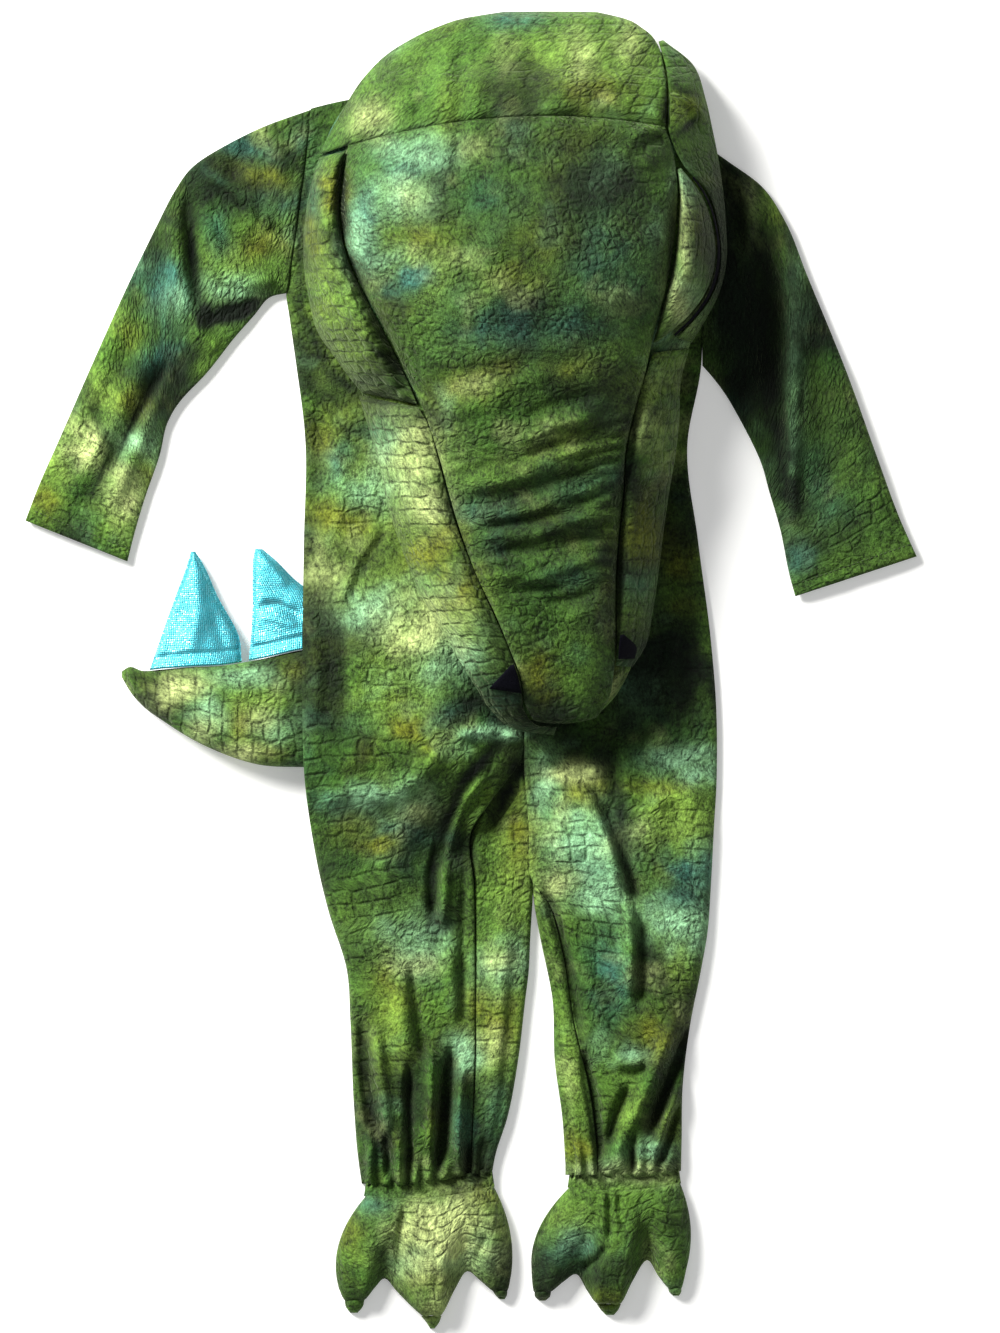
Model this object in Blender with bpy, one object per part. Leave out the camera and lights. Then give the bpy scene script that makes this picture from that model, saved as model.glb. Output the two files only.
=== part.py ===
"""A child's dinosaur costume laid flat on its back: one-piece suit with sleeves, footed legs, a
stuffed tail with two shiny spikes and a padded dinosaur-head hood folded forward over the chest.

Modelled in its own frame: X to the picture's right, Y towards the head, Z up from the floor.
The tables and sizes are in millimetres, and the meshes are in metres.
"""

from math import pi

import bpy
import numpy as np

COLLECTION = "dinosaur_costume"
MM = 0.001

# Driving dimensions
GAP = 0.3            # between pieces at a seam
WALL = 2.2           # plush cloth with its backing
BODY_PUFF = 3.2      # how far the front stands off the back
SIDE_ROUND = 20.0    # width over which the front comes down to a side seam
SLEEVE_DEEP = 8.0    # a sleeve lying flat
LEG_TURN = 4.6       # outer radius where a leg's back panel turns over to the front
HOOD_EDGE = 12.0     # height of the hood's rim over what it lies on
PAD = 9.0            # stuffing in the brow pods
FOOT_HIGH = 24.0     # padded foot cover
TAIL_HIGH = 34.4     # cloth lifted over the stuffed tail
TAIL_LINE = -25.0    # the tail's axis under the body, in Y
NECK_LINE = 392.0    # top of the body panels, in Y
SEAM = 0.4           # between the tail and its spikes, and between a casing and its foot cover
CASING_LONG = 12.5   # gathered casing between a leg and a foot cover
CASING_DEEP = 9.6
CASING_SPREAD = 2.0  # how much wider each side is at the foot
SPIKE_ROOT_HIGH = 17.0   # middle of a spike over the floor, at the tail and at its tip
SPIKE_TIP_HIGH = 5.0

CLOTH_GREEN = (0.075, 0.14, 0.03)
LEAF_GREEN = (0.12, 0.2, 0.04)
SHINY_TURQUOISE = (0.16, 0.6, 0.66)
NOSTRIL_NAVY = (0.006, 0.006, 0.012)


def table(header, *rows):
    """Named columns from rows typed by hand."""
    return dict(zip(header.split(), np.array(rows, float).T))


RAILS = "left_x left_y right_x right_y bow"

# Body panels: a row for each section, from the neck to the ankle, between the two edges
FRONT_LEFT = table(
    RAILS,
    (-112.2, 386, 24, 392, 0),
    (-119.5, 334, 25, 334, 0),
    (-125.6, 292, 25.6, 292, 0),
    (-129.4, 264, 26, 262, 0),
    (-127, 246, 26.5, 246, 0),
    (-123, 218, 27, 218, 0),
    (-116, 160, 28, 160, 0),
    (-117, 90, 30, 90, 0),
    (-118, 20, 33, 20, 0),
    (-118, -35, 36.4, -35, 0),
    (-117, -70, 35, -62, 0),
    (-113, -105, 14, -92, 0),
    (-108, -134, 0, -114, 0),
    (-100, -168, 2, -150, 0),
    (-87, -210, 3, -200, 0),
    (-84.5, -245, 3, -245, 0),
    (-82, -305, 1.5, -303, 0),
    (-79, -342, 0, -338, -2),
    (-77, -354, -0.3, -347.2, -4),
)
FRONT_RIGHT = table(
    RAILS,
    (24.5, 392, 160, 371, 0),
    (25.5, 330, 161, 330, 0),
    (26.5, 262, 162, 262, 0),
    (27.5, 214, 161, 212, 0),
    (28.5, 160, 151.5, 158, 0),
    (30.5, 90, 159, 90, 0),
    (33.5, 20, 168, 20, 0),
    (37.5, -35, 172, -35, 0),
    (39, -66, 172, -75, 0),
    (42.5, -110, 170, -112, 0),
    (44, -146, 168, -150, 0),
    (55, -164, 166, -180, 0),
    (64, -195, 161, -210, 0),
    (72, -245, 153.5, -248, 0),
    (84, -297, 148, -295, 0),
    (88, -330, 147.5, -328, -1),
    (89, -348, 147.5, -344.8, -3),
)
# Inner fold of each leg's back panel, and where its turned-over strip starts
FOLD_LEFT = table(
    "y fold_x",
    (-60, 37),
    (-84, 40.5),
    (-116, 42),
    (-146, 43),
    (-190, 41),
    (-210, 40.5),
    (-231, 38),
    (-273, 33),
    (-315, 25),
    (-338, 17.5),
    (-356, 15),
)
FOLD_RIGHT = table(
    "y fold_x",
    (-60, 39),
    (-84, 41.6),
    (-116, 42.5),
    (-150, 43.5),
    (-165, 45),
    (-190, 49),
    (-231, 57),
    (-273, 58.5),
    (-315, 64),
    (-346, 66),
)
STRIP_LEFT_TOP = -74.0
STRIP_RIGHT_TOP = -168.0

# Folds of the front: a line of three points, its half width, and its height (a trough is negative)
FOLDS = table(
    "x1 y1 x2 y2 x3 y3 width height",
    (-14, -54, 20, -54, 57, -70, 9, 8),
    (10, -60, -12, -92, -27, -150, 5.5, -7),
    (-27, -150, -29, -168, -29, -182, 5, -6),
    (22, -60, 2, -96, -12, -150, 8, 5),
    (-12, -150, -15, -210, -14, -262, 8, 3.5),
    (-46, -100, -52, -150, -44, -200, 15, 4),
    (-20, -255, -25, -314, -24, -356, 6.5, -7),
    (-36, -225, -36, -290, -34, -352, 6.5, 5),
    (-11, -250, -9, -300, -10, -348, 6.5, 4.5),
    (-46, -255, -47, -300, -45, -352, 5, -4),
    (-57, -240, -57, -300, -56, -346, 6, 3.5),
    (-74, -250, -68, -304, -64, -348, 4.5, -5),
    (52, -62, 88, -86, 104, -140, 10, 6),
    (104, -140, 113, -196, 110, -246, 9, 5),
    (70, -90, 101, -106, 118, -150, 6, -3),
    (120, -150, 126, -205, 122, -250, 8, -4),
    (62, -176, 76, -250, 92, -344, 6.5, -6),
    (100, -250, 100, -300, 101, -342, 8, 4),
    (131, -292, 124, -315, 113, -340, 5, -5),
    (138, -240, 132, -290, 124, -340, 7, 4),
    (146, -262, 141, -300, 133, -340, 5, -5),
    (82, -50, 87, -72, 93, -100, 5, 2.5),
    (103, -50, 107, -70, 110, -96, 5, 2.5),
)

# Sleeves: a row for each section, from the armhole to the cuff
SLEEVE_LEFT = table(
    RAILS,
    (-112.8, 385, -130.2, 264, 0),
    (-146, 375, -142, 260, 0),
    (-174, 364, -152, 248, 0),
    (-194, 353, -166, 232, 0),
    (-207, 336, -184, 209, 0),
    (-220, 311, -202, 190, 0),
    (-239, 272, -212, 174, 0),
    (-263, 219, -218, 150, 0),
    (-288, 162, -229, 118, 0),
    (-303, 128, -236, 94, 0),
    (-312, 104.5, -240.5, 76, 0),
)
SLEEVE_RIGHT = table(
    RAILS,
    (161, 370, 163, 213, 0),
    (180, 356, 169, 205, 0),
    (203, 339, 178, 193, 0),
    (220, 314, 189, 174, 0),
    (235, 277, 201, 150, 0),
    (262, 211, 209, 124, 0),
    (284, 150, 217, 96, 0),
    (301, 104, 223, 66, 0),
    (312, 79.5, 227, 51.5, 0),
)
SLEEVE_FOLDS = table(
    "x1 y1 x2 y2 x3 y3 width height",
    (-152, 352, -168, 300, -160, 262, 12, -2),
    (-181, 310, -193, 268, -180, 232, 9, -2.4),
    (-176, 325, -186, 290, -200, 250, 11, 2.6),
    (-210, 255, -236, 205, -262, 120, 12, 2.4),
    (-222, 262, -252, 205, -284, 110, 10, -2),
    (218, 311, 223, 245, 226, 92, 7, 3),
    (200, 300, 206, 240, 213, 160, 10, -2),
    (240, 250, 258, 190, 276, 120, 12, -1.6),
)

# Head: outline and height over the chest at each section, from the back of the hood to the snout
HEAD = table(
    "y left right high",
    (462, 8, 98, 10),
    (458, -14, 112, 24),
    (450, -30, 127, 36),
    (436, -56, 144, 50),
    (412, -80, 162, 68),
    (385, -99, 169, 84),
    (355, -111, 174.5, 96),
    (325, -116.5, 178.5, 106),
    (295, -119, 180, 111),
    (260, -115, 173, 110),
    (235, -107, 160, 104),
    (210, -89, 151, 98),
    (190, -79, 147.5, 92),
    (165, -71, 146.5, 86),
    (132, -65, 141.5, 78),
    (100, -56, 136.5, 72),
    (60, -39, 131, 67),
    (25, -19, 125.5, 62),
    (0, -6, 118, 56),
    (-22, 8, 108, 48),
    (-38, 24, 98, 38),
    (-47, 34, 90, 26),
)
# Hood panels: a row for each section between the two edges
CROWN = table(
    RAILS,
    (22, 460.7, 88, 460.7, 0.3),
    (-4, 456.5, 108, 456, 0.3),
    (-24, 450, 120.5, 449, 0.5),
    (-50, 437, 130, 439, 2),
    (-74, 416, 135.5, 418, 6),
    (-91, 390, 137, 400, 12),
    (-107, 360.5, 136.4, 380.6, 16),
)
BROW = table(
    RAILS,
    (-86, 366.3, 135.8, 379.6, 13.4),
    (-89, 345, 141.5, 362, 9),
    (-91, 322, 144.5, 334, 4),
    (-89, 304, 143, 308, 0),
    (-83, 283, 140, 285, 0),
    (-73, 262, 135, 262, 0),
    (-60, 238, 128.5, 238, 0),
    (-44, 206, 122, 208, 0),
    (-31, 176, 114, 180, 0),
    (-22, 148, 108.3, 154, 0),
    (-13, 115, 106.5, 124, 0),
    (-5, 90, 103.5, 97, 0),
    (4, 66, 101.5, 70, 0),
    (17, 39, 101, 39, 0),
    (27, 15, 101, 15, 0),
    (35, -6, 99.5, -5, 0),
    (38, -24, 96, -21, -1),
    (44, -35.5, 88, -33.5, -3),
)
JAW_LEFT = table(
    RAILS,
    (-78.5, 192, -37.2, 184, 0),
    (-72, 170, -29.5, 171.5, 0),
    (-64.5, 145, -22, 144.5, 0),
    (-58.5, 115, -13.9, 113, 0),
    (-48.5, 85, -4.3, 85.5, 0),
    (-36, 54, 8.8, 54.5, 0),
    (-20, 27, 21, 28, 0),
    (-6, 3, 30.5, 5, 0),
    (4, -13, 35.2, -10, 0),
    (12, -26, 37.2, -28, 0),
    (27, -40, 44.2, -37.6, 0),
    (58, -45.6, 60, -39.8, 0),
)
JAW_RIGHT = table(
    RAILS,
    (127.3, 222, 153, 225, 0),
    (121.2, 203, 147, 203, 0),
    (113.8, 176, 146, 178, 0),
    (108.7, 150, 143.5, 152, 0),
    (107.6, 124, 139, 126, 0),
    (104.8, 97, 135, 98, 0),
    (102.7, 70, 131.5, 70, 0),
    (101.9, 39, 127, 39, 0),
    (101.7, 15, 121.5, 15, 0),
    (101.3, 3, 113, 2, 0),
)
POD_LEFT = table(
    RAILS,
    (-106.2, 358.6, -87.4, 363.8, 0),
    (-113, 336, -91.6, 338, 0),
    (-117, 308, -92, 314, 0),
    (-117.5, 290, -87.2, 290, 0),
    (-114, 262, -75, 263, 0),
    (-108, 238, -62, 238, 0),
    (-94, 217, -50.5, 215, 0),
    (-83, 202, -43.4, 200, 0),
    (-76, 194, -37.6, 186, 0),
)
POD_RIGHT = table(
    RAILS,
    (144.5, 351, 147, 351.5, 0),
    (146, 333, 160.5, 334, 0),
    (144.8, 308, 169.5, 308, 0),
    (142.6, 288, 171, 288, 0),
    (138.4, 268, 166, 268, 0),
    (133.8, 251, 154, 250, 0),
    (129.5, 236, 140, 237, 0),
    (127.6, 229, 130.5, 229.5, 0),
)
EYE_RIGHT = table(
    RAILS,
    (154, 344, 156, 345.5, 0),
    (161.1, 334, 163.4, 335, 0),
    (170.1, 308, 172.8, 308, 0),
    (171.6, 288, 174.4, 287.5, 0),
    (166.6, 267.5, 169.6, 266.5, 0),
    (154.6, 249.5, 157.4, 247.5, 0),
    (141, 236, 143, 233.8, 0),
)
SIDE_RIGHT = table(
    RAILS,
    (131.2, 440, 134.5, 441, 0),
    (136.8, 420, 156, 423, 0),
    (138.4, 400, 164.5, 399, 0),
    (137.8, 381, 169, 379, 0),
    (149, 353, 173.5, 356, 0),
    (164.8, 335.5, 176.6, 335, 0),
    (173.5, 308, 178.8, 308, 0),
    (175, 287, 179, 287, 0),
    (170.4, 266, 173.8, 264, 0),
    (158.2, 247, 163, 243, 0),
    (144, 232.6, 154.5, 229, 0),
)
EAR_FOLD = table(
    RAILS,
    (139.5, 404, 142, 404.5, 0),
    (139.5, 398, 158, 396.5, 0),
    (139.5, 389, 149.5, 388, 0),
    (139.5, 379, 141.5, 379.5, 0),
)
NOSTRIL_LEFT = table(
    RAILS,
    (28, 3.5, 30, 4, 0),
    (20, -5, 33, -5, 0),
    (12.5, -13, 35.4, -16.5, 0),
)
NOSTRIL_RIGHT = table(
    RAILS,
    (104.5, 24.5, 107, 25, 0),
    (103.5, 16, 116, 16, 0),
    (103.2, 7.5, 114.5, 8, 0),
)
MUZZLE_WRINKLES = table(
    "x1 y1 x2 y2 x3 y3 width height",
    (30, 158, 60, 172, 92, 178, 5.5, 2.6),
    (-8, 126, 36, 137, 84, 158, 6, 3),
    (-4, 112, 40, 116, 98, 134, 5, -2),
    (0, 96, 44, 100, 98, 116, 6, 3),
    (6, 82, 50, 84, 98, 98, 5, -2),
    (10, 68, 50, 68, 97, 84, 5.5, 2.6),
    (52, 44, 74, 48, 96, 58, 5, -1.8),
)
HOOD_UNDER = table(
    RAILS,
    (18, 452.5, 92, 452, 0),
    (-24, 443, 119, 441, 0),
    (-50, 430, 138, 428, 0),
    (-74, 410, 155, 408, 0),
    (-94, 384, 164, 386, 0),
    (-105, 356, 169, 356, 0),
    (-112, 325, 174, 325, 0),
    (-114, 295, 175, 295, 0),
    (-110, 260, 168, 260, 0),
    (-101, 235, 155, 235, 0),
    (-83, 210, 146, 210, 0),
    (-74, 190, 142, 190, 0),
    (-66, 165, 141, 165, 0),
    (-60, 132, 136, 132, 0),
    (-51, 100, 131, 100, 0),
    (-34, 60, 125, 60, 0),
    (-14, 25, 119, 25, 0),
    (0, 0, 110, 0, 0),
    (15, -22, 97, -22, 0),
    (34, -35, 84, -34, 0),
)

# Feet: the toe edge of each cover from one side to the other, crest is 1 along a toe
TOES_LEFT = table(
    "x y crest",
    (-92.5, -433, 0.7),
    (-88.5, -441, 1),
    (-81.5, -441.2, 1),
    (-74.5, -441, 1),
    (-67, -432, 0.4),
    (-60, -426, 0),
    (-51, -436, 0.3),
    (-35, -451.3, 1),
    (-28, -451.6, 1),
    (-20.5, -451.3, 1),
    (-11, -433, 0.3),
    (-3, -421, 0),
    (6, -427, 0.4),
    (15, -434.5, 1),
    (20.5, -434.6, 1),
    (25.5, -434.5, 0.8),
    (28, -424, 0.6),
)
TOES_RIGHT = table(
    "x y crest",
    (43, -424, 0.6),
    (44, -435.2, 0.8),
    (50, -435.4, 1),
    (56, -435.2, 1),
    (65, -428, 0.4),
    (74, -423, 0),
    (81, -434, 0.3),
    (88, -443.3, 1),
    (96.5, -443.6, 1),
    (105, -443.3, 1),
    (113, -428, 0.3),
    (123, -413, 0),
    (131, -424, 0.4),
    (138, -432.5, 1),
    (143, -432.6, 1),
    (147.5, -432.5, 0.8),
    (150.5, -420, 0.6),
)
ANKLE_LEFT = (-73, -367.5, 15.5, -360.8, -5)      # seam from side to side, and how far it bows
ANKLE_RIGHT = (69.5, -361.5, 146, -358.5, -4)

# Claw caps: the seam across the toe, the middle and the tip
CLAWS = table(
    "root_left root_right root_y middle_left middle_right middle_y tip_left tip_right tip_y",
    (-88.5, -74.5, -442.2, -87.5, -76, -446, -84.5, -79.5, -450),
    (-35, -20.5, -453.4, -31, -22.5, -457, -28.5, -25.5, -461),
    (15, 25.5, -435.8, 17.5, 25, -438, 20, 23.5, -440.5),
    (44.5, 56, -436.6, 45, 55, -439, 48, 52, -441.5),
    (88, 105, -445.2, 91, 103, -448, 94.5, 100, -451.5),
    (138, 147.3, -434, 139, 147, -435.7, 141.5, 145.5, -438),
)
CLAW_NAMES = ("left_1", "left_2", "left_3", "right_1", "right_2", "right_3")

# Tail: dorsal and lower edge at each section from the tip to its root under the body
TAIL = table(
    "x top bottom thick",
    (-244.5, -1, -5, 6),
    (-240, 2, -13, 12),
    (-230, -0.5, -25, 18),
    (-215, 0.5, -36, 25),
    (-196, 2, -48, 31),
    (-175, 3, -58, 34),
    (-150, 7, -66, 35),
    (-118, 14, -68, 34),
    (-70, 18, -66, 31),
    (-25, 14, -58, 26),
    (0, 4, -48, 20),
)
SPIKE_OUTER = table(
    RAILS,
    (-225, 1.6, -160.5, 6.4, 0),
    (-217, 24, -162.5, 24, 0),
    (-207.5, 50, -177, 51, 0),
    (-199, 73, -187.5, 74, 0),
    (-196, 83, -193, 83, 0),
)
SPIKE_INNER = table(
    RAILS,
    (-155.5, 8, -97, 18.5, 0),
    (-154, 24, -98, 34, 0),
    (-153, 44, -106, 50, 0),
    (-153, 64, -124, 64, 0),
    (-152.5, 78, -137.5, 77.5, 0),
    (-151, 85, -146, 84.6, 0),
)


# Curves and fields
def ease(t):
    t = np.clip(t, 0, 1)
    return t * t * (3 - 2 * t)


def smooth_through(stops, values, at):
    """A smooth curve through values at the stops, read at other stops."""
    stops, values, at = (np.asarray(v, float) for v in (stops, values, at))
    step = np.diff(stops)
    rise = np.diff(values) / step
    inner = (rise[:-1] * step[1:] + rise[1:] * step[:-1]) / (step[1:] + step[:-1])
    slope = np.concatenate([rise[:1], inner, rise[-1:]])
    k = np.clip(np.searchsorted(stops, at, side="right") - 1, 0, len(step) - 1)
    t = np.clip((at - stops[k]) / step[k], 0, 1)
    h = step[k]
    return (
        values[k] * (1 + 2 * t) * (1 - t) ** 2
        + values[k + 1] * t * t * (3 - 2 * t)
        + h * slope[k] * t * (1 - t) ** 2
        + h * slope[k + 1] * t * t * (t - 1)
    )


def column(sheet, name, y, key="y"):
    """A table's column as a smooth function of its key column, which may run downwards."""
    order = np.argsort(sheet[key])
    return smooth_through(sheet[key][order], sheet[name][order], y)


def section_stops(rails):
    """Length along the middle of a panel at each of its sections, from 0 to 1."""
    middle_x = (rails["left_x"] + rails["right_x"]) / 2
    middle_y = (rails["left_y"] + rails["right_y"]) / 2
    run = np.concatenate([[0], np.cumsum(np.hypot(np.diff(middle_x), np.diff(middle_y)))])
    return run / run[-1]


def panel_grid(rails, along, across):
    """Points in XY between the two edges of a panel, by section and then from left to right."""
    stops = section_stops(rails)
    edge = {name: smooth_through(stops, rails[name], along)[:, None] for name in RAILS.split()}
    s = np.asarray(across)[None, :]
    x = edge["left_x"] * (1 - s) + edge["right_x"] * s
    y = edge["left_y"] * (1 - s) + edge["right_y"] * s + edge["bow"] * 4 * s * (1 - s)
    return x, y


def even(count):
    return np.linspace(0, 1, count)


def rounded(count):
    """Stops that lie closer together near both ends, for a panel with round sides."""
    return 0.5 - 0.5 * np.cos(pi * even(count)) * (0.85 + 0.15 * np.cos(pi * even(count)) ** 2)


def fold_height(folds, x, y):
    """Ridges and troughs along the table's lines, fading out at both ends."""
    total = np.zeros_like(x)
    for x1, y1, x2, y2, x3, y3, width, height in zip(*folds.values()):
        near = np.full_like(x, 1e9)
        fade = np.zeros_like(x)
        for (ax, ay), (bx, by), first in (((x1, y1), (x2, y2), True), ((x2, y2), (x3, y3), False)):
            span = np.hypot(bx - ax, by - ay)
            t = ((x - ax) * (bx - ax) + (y - ay) * (by - ay)) / span**2
            t = np.clip(t, 0, 1)
            away = np.hypot(x - ax - t * (bx - ax), y - ay - t * (by - ay))
            along = t / 2 + (0 if first else 0.5)
            closer = away < near
            fade = np.where(closer, ease(along * 6 + 0.3) * ease((1 - along) * 6 + 0.3), fade)
            near = np.where(closer, away, near)
        total += height * fade * np.exp(-((near / width) ** 2))
    return total


def lift(x, y):
    """How far the back panel is held off the floor by the tail under it."""
    off = y - TAIL_LINE
    across = np.where(off > 0, ease(1 - (off - 34) / 100), ease(1 - (-off - 36) / 70))
    return TAIL_HIGH * across * ease((62 - x) / 92)


def body_rise(x, y):
    """Height of the front panel's underside over the back panel, away from the side seams."""
    clear_of_snout = ease((-45 - y) / 8)
    rise = BODY_PUFF + fold_height(FOLDS, x, y) * clear_of_snout
    return 0.5 * (rise + np.sqrt(rise**2 + 0.6))


def chest(x, y):
    """The level that the hood lies on: the front panel, and the floor beyond the neck."""
    front_top = 2 * WALL + GAP + 0.5 * (BODY_PUFF + np.sqrt(BODY_PUFF**2 + 0.6)) + lift(x, y)
    return front_top * ease((NECK_LINE + 34 - y) / 16)


def head(x, y):
    """Top of the folded layers inside the hood."""
    left = column(HEAD, "left", y)
    right = column(HEAD, "right", y)
    u = np.clip(np.abs((2 * x - left - right) / (right - left)), 0, 1)
    high = column(HEAD, "high", y)
    edge = np.minimum(HOOD_EDGE, high * 0.6)
    return chest(x, y) + edge + (high - edge) * (1 - u**2.6) ** 0.62


def pillow(s, power=2.4, root=0.5):
    """1 over the middle of a padded piece, falling to 0 at both edges."""
    return (1 - np.abs(2 * np.asarray(s) - 1) ** power) ** root


# Mesh building
def new_material(name, colour, roughness, metallic=0.0):
    material = bpy.data.materials.new(name)
    material.use_nodes = True
    shader = material.node_tree.nodes["Principled BSDF"]
    shader.inputs["Base Color"].default_value = (*colour, 1)
    shader.inputs["Roughness"].default_value = roughness
    shader.inputs["Metallic"].default_value = metallic
    return material


def add_piece(name, outer, inner, material, around=False, keep=None):
    """A closed wall between an outer and an inner sheet of points (rows, columns, 3), in millimetres.

    around joins the last column to the first. keep says which cells of the sheet exist.
    """
    rows, columns = outer.shape[:2]
    cells = np.ones((rows - 1, columns if around else columns - 1), bool) if keep is None else keep

    def corners(i, j):
        k = (j + 1) % columns
        return i * columns + j, i * columns + k, (i + 1) * columns + k, (i + 1) * columns + j

    faces = []
    edges = {}
    for i, j in zip(*np.nonzero(cells)):
        ring = corners(i, j)
        faces.append(ring)
        for a, b in zip(ring, ring[1:] + ring[:1]):
            edges[(a, b)] = True
    second = rows * columns
    faces += [tuple(second + v for v in reversed(face)) for face in list(faces)]
    faces += [(b, a, second + a, second + b) for a, b in edges if (b, a) not in edges]

    points = np.concatenate([outer.reshape(-1, 3), inner.reshape(-1, 3)]) * MM
    used = sorted({v for face in faces for v in face})
    number = {v: k for k, v in enumerate(used)}
    mesh = bpy.data.meshes.new(name)
    corners_of = [tuple(number[v] for v in face) for face in faces]
    mesh.from_pydata([tuple(points[v]) for v in used], [], corners_of)
    triangles = np.array([[f[0], f[k], f[k + 1]] for f in corners_of for k in (1, 2)])
    corner = points[used][triangles]
    if np.einsum("ij,ij->i", corner[:, 0], np.cross(corner[:, 1], corner[:, 2])).sum() < 0:
        mesh.flip_normals()
    mesh.materials.append(material)
    mesh.shade_smooth()
    mesh.set_sharp_from_angle(angle=pi / 4)
    piece = bpy.data.objects.new(name, mesh)
    bpy.data.collections[COLLECTION].objects.link(piece)
    return piece


def sheets(x, y, upper, lower):
    return np.stack([x, y, upper], -1), np.stack([x, y, lower], -1)


def add_layer(name, x, y, lower, upper, material, keep=None):
    outer, inner = sheets(x, y, upper, lower)
    return add_piece(name, outer, inner, material, keep=keep)


# The suit
def side_edge(x, outer_column):
    """0 at the side seam and 1 a little way in, so that the front comes down round."""
    off = np.abs(x - x[:, outer_column : outer_column + 1]) / SIDE_ROUND
    return np.sqrt(1 - (1 - np.clip(off, 0, 1)) ** 2)


def add_front(name, rails, outer_column, material):
    x, y = panel_grid(rails, even(41), even(11))
    under = lift(x, y)
    rise = np.maximum(body_rise(x, y) * side_edge(x, outer_column), 2.0 * ease(under / 2))
    lower = under + WALL + GAP + rise
    return add_layer(name, x, y, lower, lower + WALL, material)


def add_back(name, rails, folds, strip_top, outer_is_left, material):
    """Lies on the floor, and down the leg turns over at its inner fold onto the front, up to the inseam."""
    along = even(41)[[0, 4, 8, 11, *range(13, 41)]]
    x, y = panel_grid(rails, along, (0.0, 1.0))
    outer, seam = (0, 1) if outer_is_left else (1, 0)
    inward = 1 if outer_is_left else -1
    fold_x = column(folds, "fold_x", np.maximum(y[:, seam], folds["y"].min()))
    leg = ease((-60 - y[:, seam]) / 24)
    flat_end = x[:, seam] * (1 - leg) + (fold_x - inward * LEG_TURN) * leg
    across = even(7)[None, :]
    floor_x = x[:, outer, None] * (1 - across) + flat_end[:, None] * across
    floor_y = y[:, outer, None] * (1 - across) + y[:, seam, None] * across
    floor_z = lift(floor_x, floor_y)
    turn = np.array([0.25, 0.5, 0.75, 1.0]) * pi
    strip = np.array([0.5, 1.0])
    seam_y = y[:, seam, None]

    def turned(radius):
        bend_x = flat_end[:, None] + inward * radius * np.sin(turn)
        bend_z = LEG_TURN - radius * np.cos(turn) + 0 * bend_x
        strip_x = flat_end[:, None] * (1 - strip) + (x[:, seam, None] + inward * (GAP + 0.2)) * strip
        strip_z = LEG_TURN + radius + 0 * strip_x
        return np.hstack([bend_x, strip_x]), np.hstack([bend_z, strip_z])

    turn_y = np.repeat(seam_y, len(turn) + len(strip), axis=1)
    outer_x, outer_z = turned(LEG_TURN)
    inner_x, inner_z = turned(LEG_TURN - WALL)
    all_y = np.hstack([floor_y, turn_y])
    under = np.stack([np.hstack([floor_x, outer_x]), all_y, np.hstack([floor_z, outer_z])], -1)
    above = np.stack([np.hstack([floor_x, inner_x]), all_y, np.hstack([floor_z + WALL, inner_z])], -1)
    keep = np.ones((len(along) - 1, under.shape[1] - 1), bool)
    keep[y[:-1, seam] > strip_top, across.shape[1] - 1 :] = False
    return add_piece(name, under, above, material, keep=keep)


def add_tube(name, rails, along, deep, folds, material, count=18, ripple=0.0, waves=0):
    """A flattened tube between two edges: flat on the floor, round at both sides, open at both ends."""
    x, y = panel_grid(rails, along, (0.0, 0.5, 1.0))
    angle = 2 * pi * np.arange(count) / count
    side = np.sign(np.cos(angle)) * np.abs(np.cos(angle)) ** 0.6
    height = np.sign(np.sin(angle)) * np.abs(np.sin(angle)) ** 0.6
    half = np.hypot(x[:, 2] - x[:, 0], y[:, 2] - y[:, 0])[:, None] / 2

    def ring(inward):
        share = (half - inward) / half * side[None, :]
        s = 0.5 + 0.5 * share
        px = x[:, :1] * (1 - s) + x[:, 2:] * s
        py = y[:, :1] * (1 - s) + y[:, 2:] * s + (y[:, 1:2] - (y[:, :1] + y[:, 2:]) / 2) * 4 * s * (1 - s)
        top = np.clip(height, 0, 1)[None, :]
        pz = deep / 2 + (deep / 2 - inward) * height[None, :] + 0 * px
        if folds is not None:
            pz = pz + fold_height(folds, px, py) * top
        pz = pz + ripple * np.cos(waves * angle)[None, :] * top
        if inward == 0:
            pz = np.where(pz < 0.35, 0, pz)
        return np.stack([px, py, pz], -1)

    return add_piece(name, ring(0.0), ring(WALL), material, around=True)


def add_suit(cloth):
    add_front("front_left", FRONT_LEFT, 0, cloth)
    add_front("front_right", FRONT_RIGHT, 10, cloth)
    add_back("back_left", FRONT_LEFT, FOLD_LEFT, STRIP_LEFT_TOP, True, cloth)
    add_back("back_right", FRONT_RIGHT, FOLD_RIGHT, STRIP_RIGHT_TOP, False, cloth)
    add_tube("sleeve_left", SLEEVE_LEFT, even(11), SLEEVE_DEEP, SLEEVE_FOLDS, cloth)
    add_tube("sleeve_right", SLEEVE_RIGHT, even(11), SLEEVE_DEEP, SLEEVE_FOLDS, cloth)


# Feet
def add_casing(name, ankle, cloth):
    """The gathered elastic casing between a leg and its foot cover."""
    left_x, left_y, right_x, right_y, bow = ankle
    rows = []
    for k in (1.0, 0.5, 0.0):
        spread = CASING_SPREAD * (1 - k)
        above = SEAM + CASING_LONG * k
        rows.append((left_x - spread, left_y + above, right_x + spread - 1, right_y + above, bow))
    rails = table(RAILS, *rows)
    return add_tube(name, rails, even(3), CASING_DEEP, None, cloth, count=30, ripple=0.9, waves=10)


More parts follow.
